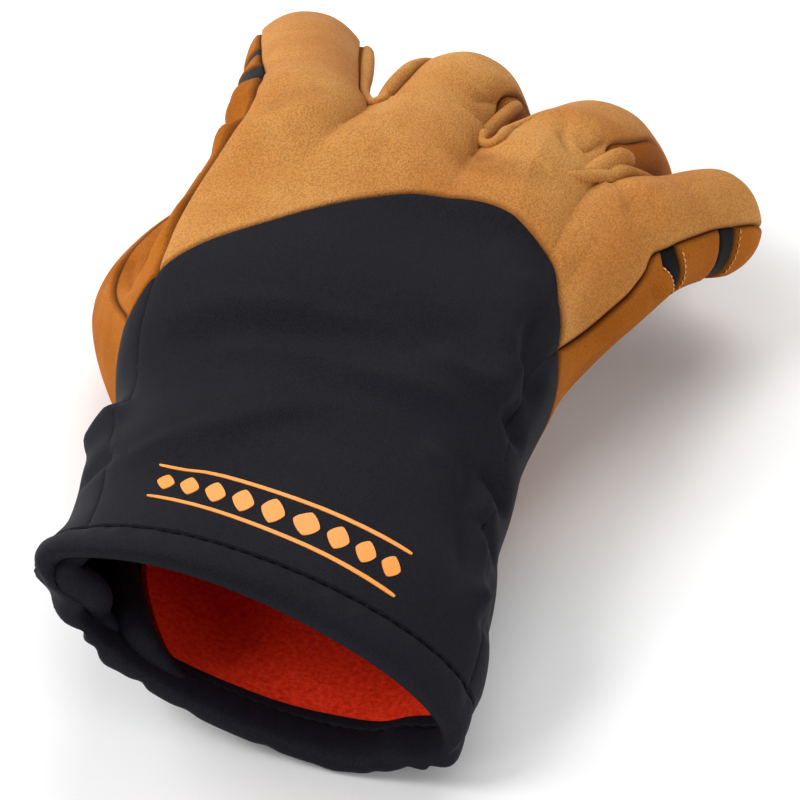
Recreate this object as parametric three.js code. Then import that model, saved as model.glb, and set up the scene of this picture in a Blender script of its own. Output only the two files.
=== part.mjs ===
// A winter cycling glove for the right hand, lying palm down on its cuff, its palm and its fingertips.
// Millimetres. +Z is up, +Y runs from the mouth of the cuff to the fingertips, and the thumb is on -X.
// Every panel is a wall: an outer and an inner sheet, worked out by the same functions at two depths.

import * as THREE from 'three';

// Walls, seams and hem
const LEATHER = 2.2;
const SOFTSHELL = 1.8;
const STRETCH = 1.4;
const LINING = 1.5;
const LINING_CLEARANCE = 0.4;
const SEAM_GAP = 0.32;
const MITRE_LEAST = 0.5;
const LINING_SHARE = 0.9;
const HEM_LENGTH = 10.5;

// Profile of the folded hem, from its seam over the outside, round the rim and back along the inside
const HEM = table('y depth', [
  [HEM_LENGTH - SEAM_GAP / 2, 0],
  [6, -1],
  [1.4, -0.6],
  [0, 1.4],
  [0.2, 3.4],
  [2.2, 4.6],
  [6, 4.9],
  [HEM_LENGTH - SEAM_GAP / 2, 4.2],
]);

// Counts of columns and rows
const FINGER_COLUMNS = 4;
const SIDE_COLUMNS = 3;
const CUFF_ROWS = 8;
const HAND_ROWS = 9;
const TIP_ROWS = 3;

// Angles of the four long seams around the hand, from +X over the back, in degrees
const BACK_RIGHT = 23;
const BACK_LEFT = 152;
const PALM_LEFT = 205;
const PALM_RIGHT = 335;

// Sections of the cuff and hand: each an oval of the given power, turned about its centre by turn degrees
const HAND = table('y x z half up down power turn', [
  [0, -5, 26, 47.5, 20, 20, 2.0, 20],
  [28, -5, 25, 46.5, 21.5, 25.5, 2.2, 9],
  [63, -10, 26, 45, 21, 27, 2.3, 3],
  [98, -9, 35, 48.5, 20, 26, 2.4, 4],
  [134, -2, 38, 52, 16, 20, 2.5, 11],
  [170, 8, 44.5, 58.5, 18, 18, 2.6, 12],
]);

// Fingers: base centre, heading and bends in degrees, where they bend as shares of the length, the middles
// of the two stretch bands, and the length and half sizes of the section
const FINGERS = table('name x y z yaw pitch knuckle joint bend1 bend2 band1 band2 length half up down crown turn', [
  ['index', -36, 168, 47.5, -12, 18, 6, 14, 0.5, 0.76, 18, 38, 74, 12.8, 5.5, 7, 6.5, 4],
  ['middle', -8, 165, 44.5, 10, 5, 50, 26, 0.38, 0.68, 30.4, 54.4, 80, 11.8, 5.5, 6.5, 6.5, 13],
  ['ring', 24.5, 167, 46, 13, 24, 24, 22, 0.38, 0.68, 28.5, 51, 75, 12.6, 5.5, 6.5, 6.5, 6],
  ['little', 39, 141.5, 31.5, 27, -8, 24, 10, 0.38, 0.68, 17.5, 38, 57, 10.6, 6.5, 8.4, 6.2, 11],
]);

// Where each web's back corner lies between its two fingers, and how far it draws the second finger's side up
const WEBS = table('share run', [
  [0.5, 0],
  [0.5, 0],
  [0.2, 34],
]);
const SIDE_BULGE = 2.2;
const JOINT_SPREAD = 22;
const TIP_ROUND = 12;
const TIP_NARROWING = 0.42;
const PALM_CROWN = 0.75;
const CROWN_POWER = 2.3;
const CROWN_CLOSING = 0.8;
const SEAM_DEPTH_SHARE = 0.8;
const CROWN_DEPTH_SHARE = 0.2;
const WEB_RADIUS = 7;
const WEB_REACH = 2.5 * WEB_RADIUS;
const WEB_STEPS = [0, 0.1, 0.34, 0.68, 1];
const WEB_SLOPE = 0.8;
const BLEND = 42;
const BAND_HALF = 3;

// Where the softshell ends: u runs 0 to 4 over the back, -1 and 5 are the palm's corners
const EDGE = table('u y', [
  [-1, 76],
  [0, 97],
  [1, 111],
  [2, 136],
  [3, 130],
  [3.6, 118],
  [4, 108],
  [5, 88],
]);
const PALM_EDGE = 72;

// Soft folds of the cuff: centre, slant of the crest, its half length and half width, and its height
const FOLDS = table('phi y slant long wide height', [
  [100, 62, -28, 60, 9, 1.6],
  [80, 84, -20, 60, 8, -1.4],
  [178, 47, 10, 22, 10, 1.2],
  [172, 70, 0, 20, 8, -2.6],
  [12, 34, 20, 25, 8, -2.2],
  [5, 66, 12, 22, 10, 1.6],
  [330, 4, 0, 10, 16, -3.0],
  [172, 3, 0, 12, 13, 2],
  [201, 1, 0, 9, 13, -5],
]);
const FOLD_SCALE = 0.75;

// Thumb: centre line, heading of the section's turn and half sizes
const THUMB = table('s x y z wide high', [
  [0, -44, 96, 25, 21, 16],
  [22, -55, 116, 19, 17, 13.6],
  [40, -58, 134, 16, 14.8, 12.6],
  [60, -54, 154, 14, 12.8, 11.6],
  [76, -47, 168, 12.5, 11.6, 10.8],
]);
const THUMB_HOLE = { firstColumn: 1, columns: 5, firstRow: 0, rows: 5 };
const THUMB_ROWS = [5, 11, 18, 27, 37, 47, 57, 64];
const THUMB_BLEND = 26;
const THUMB_START = 0.75;
const THUMB_ANGLE = 50;

const FINISH = {
  nubuck: { color: 0xc88c4e, roughness: 0.85 },
  suede: { color: 0xb87636, roughness: 0.9 },
  softshell: { color: 0x24252e, roughness: 0.75 },
  stretch: { color: 0x1b1b20, roughness: 0.8 },
  fleece: { color: 0xd83a10, roughness: 0.95 },
};

// Tables and small vector helpers

function table(columns, rows) {
  const names = columns.split(' ');
  return rows.map((row) => Object.fromEntries(names.map((name, k) => [name, row[k]])));
}

function clamp(x, low, high) {
  return Math.min(high, Math.max(low, x));
}

function smooth(x) {
  const s = clamp(x, 0, 1);
  return s * s * (3 - 2 * s);
}

const radians = (degrees) => (degrees * Math.PI) / 180;
const add = (a, b, k = 1) => a.map((x, n) => x + k * b[n]);
const mix = (a, b, k) => a.map((x, n) => x + k * (b[n] - x));
const dot = (a, b) => a[0] * b[0] + a[1] * b[1] + a[2] * b[2];
const cross = (a, b) => [a[1] * b[2] - a[2] * b[1], a[2] * b[0] - a[0] * b[2], a[0] * b[1] - a[1] * b[0]];
const unit = (a) => a.map((x) => x / (Math.hypot(...a) || 1));
const signedPower = (x, p) => Math.sign(x) * Math.abs(x) ** p;

// A smooth curve through one column of a table, over its first column
function along(rows, key, x, name) {
  const last = rows.length - 1;
  const slope = (k) => {
    const a = rows[Math.max(k - 1, 0)];
    const b = rows[Math.min(k + 1, last)];
    return (b[name] - a[name]) / (b[key] - a[key]);
  };
  let k = 0;
  while (k < last - 1 && x > rows[k + 1][key]) k += 1;
  const a = rows[k];
  const b = rows[k + 1];
  const h = b[key] - a[key];
  const q = clamp((x - a[key]) / h, 0, 1);
  const over = (x - a[key]) / h - q;
  const value =
    (2 * q ** 3 - 3 * q ** 2 + 1) * a[name] +
    (q ** 3 - 2 * q ** 2 + q) * h * slope(k) +
    (3 * q ** 2 - 2 * q ** 3) * b[name] +
    (q ** 3 - q ** 2) * h * slope(k + 1);
  return value + over * h * slope(over > 0 ? k + 1 : k);
}

// The cuff and hand

function foldHeight(phi, y) {
  let height = 0;
  for (const fold of FOLDS) {
    const turn = ((phi - fold.phi + 540) % 360) - 180;
    const a = turn * FOLD_SCALE;
    const b = y - fold.y;
    const c = Math.cos(radians(fold.slant));
    const s = Math.sin(radians(fold.slant));
    const across = (b * c - a * s) / fold.wide;
    const lengthwise = (a * c + b * s) / fold.long;
    height += fold.height * Math.exp(-across * across - lengthwise * lengthwise);
  }
  return height;
}

// A point of the hand's oval at the angle phi and the length y, at a depth below the outer face
function handPoint(phi, y, depth) {
  const at = (name) => along(HAND, 'y', y, name);
  const c = Math.cos(radians(phi));
  const s = Math.sin(radians(phi));
  const power = 2 / at('power');
  const inset = depth - foldHeight(phi, y);
  const x = signedPower(c, power) * (at('half') - inset);
  const z = signedPower(s, power) * ((s > 0 ? at('up') : at('down')) - inset);
  const turn = radians(at('turn'));
  return [
    at('x') + x * Math.cos(turn) + z * Math.sin(turn),
    y,
    at('z') - x * Math.sin(turn) + z * Math.cos(turn),
  ];
}

// Fingers

function pitchAt(finger, d) {
  const first = smooth((d - finger.bend1 * finger.length) / JOINT_SPREAD + 0.5);
  const second = smooth((d - finger.bend2 * finger.length) / JOINT_SPREAD + 0.5);
  return radians(finger.pitch + finger.knuckle * first + finger.joint * second);
}

// Centre, side, normal and heading of a finger at the arc length d
function fingerFrame(finger, d) {
  const head = [Math.sin(radians(finger.yaw)), Math.cos(radians(finger.yaw)), 0];
  const across = [Math.cos(radians(finger.yaw)), -Math.sin(radians(finger.yaw)), 0];
  const steps = 40;
  let forward = d < 0 ? d * Math.cos(pitchAt(finger, 0)) : 0;
  let drop = d < 0 ? d * Math.sin(pitchAt(finger, 0)) : 0;
  for (let k = 0; k < steps && d > 0; k += 1) {
    const p = pitchAt(finger, (d * (k + 0.5)) / steps);
    forward += (Math.cos(p) * d) / steps;
    drop += (Math.sin(p) * d) / steps;
  }
  const p = pitchAt(finger, Math.max(d, 0));
  const centre = [finger.x + forward * head[0], finger.y + forward * head[1], finger.z - drop];
  const level = add([0, 0, Math.cos(p)], head, Math.sin(p));
  const heading = add([0, 0, -Math.sin(p)], head, Math.cos(p));
  const turn = radians(finger.turn);
  const side = add(across.map((x) => x * Math.cos(turn)), level, -Math.sin(turn));
  const normal = add(level.map((x) => x * Math.cos(turn)), across, Math.sin(turn));
  return { centre, side, normal, heading };
}

// The inner sheet starts behind the web and ends short of the fingertip by the wall
function innerLength(finger, d, depth) {
  const far = finger.length - 2 * TIP_ROUND;
  if (d < WEB_REACH) return d - depth * (1 - Math.max(d, 0) / WEB_REACH);
  if (d > far) return d - (depth * (d - far)) / (finger.length - far);
  return d;
}

// Section of a finger without the web: t is -1 to 1 over the back and palm arcs, 0 to 1 down the sides
function fingerSection(finger, panel, t, d, depth, closing, bulge) {
  const { centre, side, normal } = fingerFrame(finger, d);
  const k = clamp(closing, 0, 1);
  const open = Math.sqrt(Math.max(0, 1 - k * k));
  const half = (finger.half - depth) * (1 - TIP_NARROWING * (1 - open));
  const up = (finger.up - depth * SEAM_DEPTH_SHARE) * open;
  const down = (finger.down - depth * SEAM_DEPTH_SHARE) * open;
  const crown = (finger.crown - depth * CROWN_DEPTH_SHARE) * open ** CROWN_CLOSING;
  const arch = 1 - Math.abs(t) ** CROWN_POWER;
  const swell = bulge * open * 4 * t * (1 - t);
  const shapes = {
    back: [half * t, up + crown * arch],
    palm: [half * t, -down - PALM_CROWN * crown * arch],
    right: [half + swell, up - t * (up + down)],
    left: [-half - swell, up - t * (up + down)],
  };
  const [x, z] = shapes[panel];
  return add(add(centre, side, x), normal, z);
}

const arcAtWeb = (i, arc, end, depth) => fingerSection(FINGERS[i], arc, end, -depth, depth, 0, 0);

// How far the web moves a corner of a finger's base: neighbours meet at a share of the way between them
function webShift(i, arc, end, depth) {
  const next = i + end;
  if (next < 0 || next >= FINGERS.length) return [0, 0, 0];
  const share = arc === 'back' ? WEBS[Math.min(i, next)].share : 0.5;
  const mine = arcAtWeb(i, arc, end, depth);
  const other = arcAtWeb(next, arc, -end, depth);
  return add(mix(mine, other, end > 0 ? share : 1 - share), mine, -1);
}

// A web's pull on a corner at the length d: a quarter circle, and a slower slope where the table gives it a run
function webPull(i, arc, end, d) {
  const x = clamp(1 - d / WEB_RADIUS, 0, 1);
  const round = 1 - Math.sqrt(1 - x * x);
  const run = arc === 'back' && end < 0 && i > 0 ? WEBS[i - 1].run : 0;
  return run > 0 ? Math.max(round, WEB_SLOPE * (1 - smooth(d / run)) + (1 - WEB_SLOPE) * round) : round;
}

// A finger's surface with the rounded web at its base
function fingerPoint(i, panel, t, d, depth) {
  const finger = FINGERS[i];
  const closing = (d - (finger.length - TIP_ROUND)) / TIP_ROUND;
  const length = innerLength(finger, d, depth);
  const end = panel === 'right' ? 1 : -1;
  const outside = i + end < 0 || i + end >= FINGERS.length;
  const isSide = panel === 'right' || panel === 'left';
  const pulled = (arc, side) => webShift(i, arc, side, depth).map((x) => x * webPull(i, arc, side, d));
  const bulge = isSide && !outside ? SIDE_BULGE * (1 - webPull(i, 'palm', end, d)) : SIDE_BULGE;
  const point = fingerSection(finger, panel, t, length, depth, closing, bulge);
  const shift = isSide
    ? mix(pulled('back', end), pulled('palm', end), t)
    : mix(pulled(panel, -1), pulled(panel, 1), (1 + t) / 2);
  return add(point, shift);
}

// The lattice around the glove: 17 lines over the back, then the right side, the palm and the left side
const BACK_COLUMNS = FINGER_COLUMNS * FINGERS.length;
const LOOP = 2 * BACK_COLUMNS + 2 * SIDE_COLUMNS;

function lineOf(index) {
  const k = ((index % LOOP) + LOOP) % LOOP;
  const inFinger = (q) => {
    const i = Math.min(Math.floor(q / FINGER_COLUMNS), FINGERS.length - 1);
    return { i, t: (2 * (q - i * FINGER_COLUMNS)) / FINGER_COLUMNS - 1 };
  };
  const last = FINGERS.length - 1;
  if (k <= BACK_COLUMNS) {
    const share = k / BACK_COLUMNS;
    return { panel: 'back', ...inFinger(k), u: 4 * share, phi: BACK_LEFT + (BACK_RIGHT - BACK_LEFT) * share };
  }
  if (k < BACK_COLUMNS + SIDE_COLUMNS) {
    const t = (k - BACK_COLUMNS) / SIDE_COLUMNS;
    return { panel: 'right', i: last, t, u: 4 + t, phi: BACK_RIGHT + (PALM_RIGHT - 360 - BACK_RIGHT) * t };
  }
  if (k <= 2 * BACK_COLUMNS + SIDE_COLUMNS) {
    const q = 2 * BACK_COLUMNS + SIDE_COLUMNS - k;
    const share = q / BACK_COLUMNS;
    return { panel: 'palm', ...inFinger(q), u: 4 * share, phi: PALM_LEFT + (PALM_RIGHT - PALM_LEFT) * share };
  }
  const t = (LOOP - k) / SIDE_COLUMNS;
  return { panel: 'left', i: 0, t, u: -t, phi: BACK_LEFT + (PALM_LEFT - BACK_LEFT) * t };
}

function softshellEnd(line) {
  return line.panel === 'palm'
    ? PALM_EDGE + (along(EDGE, 'u', 5, 'y') - PALM_EDGE) * Math.max(0, line.u - 3) ** 2 +
      (along(EDGE, 'u', -1, 'y') - PALM_EDGE) * Math.max(0, 1 - line.u) ** 2
    : along(EDGE, 'u', line.u, 'y');
}

// Heading of the surface behind a finger's base, halfway to its neighbour's at the web
function baseHeading(line) {
  const heading = (i) => fingerFrame(FINGERS[clamp(i, 0, FINGERS.length - 1)], 0).heading;
  const t = line.panel === 'right' ? 1 : line.panel === 'left' ? -1 : line.t;
  const next = heading(line.i + Math.sign(t));
  return unit(mix(heading(line.i), next, Math.abs(t) / 2));
}

// A point of the cuff or hand at the length y, running into the fingers' bases over the last stretch
function bodyPoint(line, y, depth) {
  const end = fingerPoint(line.i, line.panel, line.t, 0, depth);
  const behind = end[1] - y;
  const heading = baseHeading(line);
  const stretched = add(end, heading, -behind / heading[1]);
  return mix(handPoint(line.phi, y, depth), stretched, smooth(1 - behind / BLEND));
}

function rowPoint(line, row, depth) {
  const edge = softshellEnd(line);
  if (row <= CUFF_ROWS) return bodyPoint(line, HEM_LENGTH + ((edge - HEM_LENGTH) * row) / CUFF_ROWS, depth);
  const end = fingerPoint(line.i, line.panel, line.t, 0, depth);
  return bodyPoint(line, edge + ((end[1] - edge) * (row - CUFF_ROWS)) / HAND_ROWS, depth);
}

// What would sink into the surface is pressed flat on it, and keeps its wall
function rest(point, depth) {
  return [point[0], point[1], Math.max(point[2], depth)];
}

const WEB_ROW = CUFF_ROWS + HAND_ROWS;

const bodyKey = (index, row) => `body ${((index % LOOP) + LOOP) % LOOP} ${row}`;

function bodySheet(key, depth) {
  const [, index, row] = key.split(' ').map(Number);
  return rowPoint(lineOf(index), row, depth);
}

// Thumb

function thumbFrame(s) {
  const at = (q) => ['x', 'y', 'z'].map((name) => along(THUMB, 's', q, name));
  const heading = unit(add(at(s + 1), at(s - 1), -1));
  const side = unit(cross(heading, [0, 0, 1]));
  return { centre: at(s), heading, side, normal: cross(side, heading) };
}

// The hole's border as lattice points: from the back seam to the palm, along the palm, and back
function thumbHole() {
  const { firstColumn, columns, firstRow, rows } = THUMB_HOLE;
  const left = -firstColumn;
  const low = CUFF_ROWS + firstRow;
  const border = [];
  for (let c = 0; c < columns; c += 1) border.push([left - c, low]);
  for (let r = 0; r < rows; r += 1) border.push([left - columns, low + r]);
  for (let c = 0; c < columns; c += 1) border.push([left - columns + c, low + rows]);
  for (let r = 0; r < rows; r += 1) border.push([left, low + rows - r]);
  return border;
}

const BORDER = thumbHole();
const THUMB_LENGTH = THUMB[THUMB.length - 1].s;

function thumbPoint(k, s, depth) {
  const [column, row] = BORDER[k];
  const start = rowPoint(lineOf(column), row, depth);
  if (s === 0) return start;
  const closing = clamp((s - (THUMB_LENGTH - TIP_ROUND)) / TIP_ROUND, 0, 1);
  const open = Math.sqrt(1 - closing * closing);
  const far = THUMB_LENGTH - 2 * TIP_ROUND;
  const length = s > far ? s - (depth * (s - far)) / (THUMB_LENGTH - far) : s;
  const frame = thumbFrame(length);
  const angle = radians(THUMB_ANGLE - (360 * k) / BORDER.length);
  const wide = (along(THUMB, 's', s, 'wide') - depth) * (1 - TIP_NARROWING * (1 - open));
  const high = (along(THUMB, 's', s, 'high') - depth) * open;
  const across = add(frame.centre, frame.side, -Math.cos(angle) * wide);
  const ring = add(across, frame.normal, Math.sin(angle) * high);
  const leaving = add(start, thumbFrame(0).heading, s * THUMB_START);
  return mix(leaving, ring, smooth(s / THUMB_BLEND));
}

// Walls

// One closed wall from cells of keys, anticlockwise seen from outside: sheet gives a key's place at a depth,
// and the wall lies between the outer and the inner depth, drawn in at its border by half a seam's gap.
// A border face is split along its shorter diagonal, as its neighbour's is.
function wall(cells, sheet, outer, inner) {
  const keys = [...new Set(cells.flat())];
  const edges = new Map();
  for (const cell of cells) {
    cell.forEach((a, n) => {
      const b = cell[(n + 1) % cell.length];
      if (a !== b) edges.set(`${a}|${b}`, { a, b, cell });
    });
  }
  const border = [...edges.values()].filter(({ a, b }) => !edges.has(`${b}|${a}`));
  const sheets = [outer, inner].map((depth) => {
    const places = new Map(keys.map((key) => [key, sheet(key, depth)]));
    const pulls = new Map();
    for (const { a, b, cell } of border) {
      const corners = cell.map((key) => places.get(key));
      const middle = corners.reduce((sum, p) => add(sum, p, 1 / cell.length), [0, 0, 0]);
      const run = unit(add(places.get(b), places.get(a), -1));
      const toMiddle = add(middle, places.get(a), -1);
      const inward = unit(add(toMiddle, run, -dot(toMiddle, run)));
      for (const key of [a, b]) pulls.set(key, [...(pulls.get(key) || []), inward]);
    }
    for (const [key, list] of pulls) {
      const sum = list.reduce((total, p) => add(total, p), [0, 0, 0]);
      const mitre = list.length === 2 ? Math.max(1 + dot(list[0], list[1]), MITRE_LEAST) : list.length;
      places.set(key, add(places.get(key), sum, SEAM_GAP / 2 / mitre));
    }
    return keys.map((key) => rest(places.get(key), depth));
  });
  const order = new Map(keys.map((key, n) => [key, n]));
  const positions = sheets.flat();
  const triangles = [];
  const shift = keys.length;
  for (const cell of cells) {
    const ring = cell.map((key) => order.get(key)).filter((v, n, all) => v !== all[(n + 1) % all.length]);
    for (let n = 1; n + 1 < ring.length; n += 1) {
      triangles.push([ring[0], ring[n], ring[n + 1]]);
      triangles.push([ring[0] + shift, ring[n + 1] + shift, ring[n] + shift]);
    }
  }
  const apart = (p, q) => Math.hypot(...add(positions[p], positions[q], -1));
  for (const { a, b } of border) {
    const [p, q] = [order.get(a), order.get(b)];
    if (apart(p, q + shift) < apart(q, p + shift)) triangles.push([q, p, q + shift], [p, p + shift, q + shift]);
    else triangles.push([q, p, p + shift], [q, p + shift, q + shift]);
  }
  return { positions, triangles };
}

function piece(name, finish, { positions, triangles }) {
  const geometry = new THREE.BufferGeometry();
  geometry.setAttribute('position', new THREE.Float32BufferAttribute(positions.flat(), 3));
  geometry.setIndex(triangles.flat());
  geometry.computeVertexNormals();
  const mesh = new THREE.Mesh(geometry, new THREE.MeshStandardMaterial({ ...FINISH[finish], metalness: 0 }));
  mesh.name = name;
  return mesh;
}

// Cells of the cuff and hand between two lattice lines and two rows, leaving out what skip names
function bodyCells(firstLine, lines, firstRow, lastRow, skip = () => false) {
  const cells = [];
  for (let k = firstLine; k < firstLine + lines; k += 1) {
    for (let row = firstRow; row < lastRow; row += 1) {
      if (skip(k, row)) continue;
      cells.push([bodyKey(k, row), bodyKey(k + 1, row), bodyKey(k + 1, row + 1), bodyKey(k, row + 1)]);
    }
  }
  return cells;
}

// Rows of a finger: the web, the stretch bands and the rounded tip
function fingerRows({ band1, band2, length }) {
  const tip = length - TIP_ROUND;
  const rows = WEB_STEPS.map((step) => step * WEB_RADIUS);
  rows.push((WEB_RADIUS + band1 - BAND_HALF) / 2, band1 - BAND_HALF, band1 + BAND_HALF, (band1 + band2) / 2);
  rows.push(band2 - BAND_HALF, band2 + BAND_HALF, (band2 + BAND_HALF + tip) / 2, tip);
  for (let k = 1; k <= TIP_ROWS; k += 1) rows.push(tip + TIP_ROUND * Math.sin((Math.PI / 2) * (k / TIP_ROWS)));
  return rows;
}

const ROWS = FINGERS.map(fingerRows);
const ROW = { first: WEB_STEPS.length + 1, afterFirst: WEB_STEPS.length + 2, second: WEB_STEPS.length + 4 };
ROW.afterSecond = ROW.second + 1;
ROW.tip = ROWS[0].length - 1;

// A line's point on a finger row: row 0 is shared with the hand, and the tip closes to one line of points
function fingerKey(i, index, row) {
  if (row === 0) return bodyKey(index, WEB_ROW);
  return `finger ${i} ${index} ${row}`;
}

function fingerSheet(key, depth) {
  if (key.startsWith('body')) return bodySheet(key, depth);
  const [, i, index, row] = key.split(' ').map(Number);
  const line = lineOf(index);
  const isSide = line.panel === 'right' || line.panel === 'left';
  const q = line.panel === 'palm' ? 2 * BACK_COLUMNS + SIDE_COLUMNS - index : index;
  const t = isSide ? line.t : (2 * (q - i * FINGER_COLUMNS)) / FINGER_COLUMNS - 1;
  return fingerPoint(i, line.panel, t, ROWS[i][row], depth);
}

// Lattice lines of a finger's palm side, with the outer side of the index and little fingers
function palmLines(i) {
  const right = 2 * BACK_COLUMNS + SIDE_COLUMNS - (i + 1) * FINGER_COLUMNS;
  const first = i === FINGERS.length - 1 ? right - SIDE_COLUMNS : right;
  const last = i === 0 ? right + FINGER_COLUMNS + SIDE_COLUMNS : right + FINGER_COLUMNS;
  return { first, last };
}

function fingerCells(i, first, last, firstRow, lastRow) {
  const cells = [];
  const key = (k, row) => {
    const line = k === LOOP ? 0 : k;
    const merged = row === ROW.tip && k > 2 * BACK_COLUMNS + SIDE_COLUMNS;
    const cornerRight = row === ROW.tip && k > BACK_COLUMNS && k < BACK_COLUMNS + SIDE_COLUMNS;
    if (merged) return fingerKey(i, 2 * BACK_COLUMNS + SIDE_COLUMNS, row);
    if (cornerRight) return fingerKey(i, BACK_COLUMNS + SIDE_COLUMNS, row);
    if (row === ROW.tip && k === BACK_COLUMNS && first === BACK_COLUMNS) {
      return fingerKey(i, BACK_COLUMNS + SIDE_COLUMNS, row);
    }
    return fingerKey(i, line, row);
  };
  for (let k = first; k < last; k += 1) {
    for (let row = firstRow; row < lastRow; row += 1) {
      cells.push([key(k, row), key(k + 1, row), key(k + 1, row + 1), key(k, row + 1)]);
    }
  }
  return cells;
}

// Panels

function backLeather() {
  const cells = bodyCells(0, BACK_COLUMNS, CUFF_ROWS, WEB_ROW);
  FINGERS.forEach((finger, i) => {
    cells.push(...fingerCells(i, i * FINGER_COLUMNS, (i + 1) * FINGER_COLUMNS, 0, ROW.tip));
  });
  return wall(cells, fingerSheet, 0, LEATHER);
}

function inThumbHole(k, row) {
  const { firstColumn, columns, firstRow, rows } = THUMB_HOLE;
  const column = LOOP - firstColumn - 1 - k;
  const r = row - CUFF_ROWS - firstRow;
  return column >= 0 && column < columns && r >= 0 && r < rows;
}

function palmLeather() {
  const cells = bodyCells(BACK_COLUMNS, LOOP - BACK_COLUMNS, CUFF_ROWS, WEB_ROW, inThumbHole);
  FINGERS.forEach((finger, i) => {
    const { first, last } = palmLines(i);
    cells.push(...fingerCells(i, first, last, 0, ROW.first));
  });
  return wall(cells, fingerSheet, 0, LEATHER);
}

function palmStretch(i, firstRow, lastRow, thickness) {
  const { first, last } = palmLines(i);
  return wall(fingerCells(i, first, last, firstRow, lastRow), fingerSheet, 0, thickness);
}

// The strip between two fingers: down the right side of one, through the web and up the left of the next
function fourchette(i) {
  const count = ROW.tip;
  const key = (t, step) => `web ${Math.abs(step) === count ? 0 : t} ${step}`;
  const cells = [];
  for (let t = 0; t < 2; t += 1) {
    for (let step = -count; step < count; step += 1) {
      cells.push([key(t, step), key(t, step + 1), key(t + 1, step + 1), key(t + 1, step)]);
    }
  }
  const sheet = (name, depth) => {
    const [, t, step] = name.split(' ').map(Number);
    const [finger, panel] = step < 0 ? [i, 'right'] : [i + 1, 'left'];
    return fingerPoint(finger, panel, t / 2, ROWS[finger][Math.abs(step)], depth);
  };
  return wall(cells, sheet, 0, LEATHER);
}

// Half of the thumb, from the border point first halfway round
function thumbHalf(first) {
  const rows = [0, ...THUMB_ROWS];
  for (let k = 1; k <= TIP_ROWS; k += 1) {
    rows.push(THUMB_LENGTH - TIP_ROUND + TIP_ROUND * Math.sin((Math.PI / 2) * (k / TIP_ROWS)));
  }
  const total = BORDER.length;
  const cells = [];
  for (let k = first; k < first + total / 2; k += 1) {
    for (let row = 0; row + 1 < rows.length; row += 1) {
      const key = (a, r) => `thumb ${((a % total) + total) % total} ${r}`;
      cells.push([key(k, row + 1), key(k + 1, row + 1), key(k + 1, row), key(k, row)]);
    }
  }
  const sheet = (name, depth) => {
    const [, k, row] = name.split(' ').map(Number);
    return thumbPoint(k, rows[row], depth);
  };
  return wall(cells, sheet, 0, LEATHER);
}

// The fleece lines the cuff all round but for the gusset on the thumb's side
function lining() {
  const rows = Math.round(CUFF_ROWS * LINING_SHARE);
  const start = SOFTSHELL + LINING_CLEARANCE;
  const cells = bodyCells(0, LOOP - SIDE_COLUMNS, 0, rows);
  return wall(cells, bodySheet, start, start + LINING);
}

// The hem: its profile carried round the mouth as a ring
function hem() {
  const positions = [];
  const triangles = [];
  const n = HEM.length;
  for (let k = 0; k < LOOP; k += 1) {
    for (const { y, depth } of HEM) positions.push(rest(bodyPoint(lineOf(k), y, depth), Math.max(depth, 0)));
  }
  for (let k = 0; k < LOOP; k += 1) {
    for (let m = 0; m < n; m += 1) {
      const a = k * n + m;
      const b = k * n + ((m + 1) % n);
      const c = ((k + 1) % LOOP) * n + ((m + 1) % n);
      const d = ((k + 1) % LOOP) * n + m;
      triangles.push([a, b, c], [a, c, d]);
    }
  }
  return { positions, triangles };
}

// Assembly

const glove = new THREE.Group();
const cuffBack = bodyCells(0, BACK_COLUMNS, 0, CUFF_ROWS);
const cuffPalm = bodyCells(BACK_COLUMNS, LOOP - BACK_COLUMNS, 0, CUFF_ROWS);
glove.add(piece('cuff_hem', 'softshell', hem()));
glove.add(piece('cuff_back', 'softshell', wall(cuffBack, bodySheet, 0, SOFTSHELL)));
glove.add(piece('cuff_palm', 'softshell', wall(cuffPalm, bodySheet, 0, SOFTSHELL)));
glove.add(piece('lining', 'fleece', lining()));
glove.add(piece('back_leather', 'nubuck', backLeather()));
glove.add(piece('palm_leather', 'suede', palmLeather()));
for (let i = 0; i + 1 < FINGERS.length; i += 1) {
  glove.add(piece(`fourchette_${FINGERS[i].name}_${FINGERS[i + 1].name}`, 'suede', fourchette(i)));
}
FINGERS.forEach(({ name }, i) => {
  glove.add(piece(`${name}_stretch_1`, 'stretch', palmStretch(i, ROW.first, ROW.afterFirst, STRETCH)));
  glove.add(piece(`${name}_pad_middle`, 'suede', palmStretch(i, ROW.afterFirst, ROW.second, LEATHER)));
  glove.add(piece(`${name}_stretch_2`, 'stretch', palmStretch(i, ROW.second, ROW.afterSecond, STRETCH)));
  glove.add(piece(`${name}_pad_tip`, 'suede', palmStretch(i, ROW.afterSecond, ROW.tip, LEATHER)));
});
glove.add(piece('thumb_back', 'suede', thumbHalf(BORDER.length / 2)));
glove.add(piece('thumb_front', 'suede', thumbHalf(0)));

// The origin is under the middle of the glove's box, on the surface that it lies on
const box = new THREE.Box3().setFromObject(glove);
glove.position.set(-(box.min.x + box.max.x) / 2, -(box.min.y + box.max.y) / 2, -box.min.z);
glove.updateMatrixWorld(true);

export default glove;
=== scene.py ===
# %% [markdown]
# # A winter cycling glove, panel by panel
# A sewn glove is a set of flat panels that are joined at their edges. The frame holds each panel as a plain
# wall of few faces. This lesson makes every panel again as a fine surface: one function says where a point
# of the glove lies, and each panel is a grid laid over that function, rolled in at its seams and given a
# finish. Lengths are millimetres while a shape is worked out, and become metres when it turns into a mesh.

# %% Load the frame
from types import SimpleNamespace

import bpy
import numpy as np
from mathutils import Matrix, Vector


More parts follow.
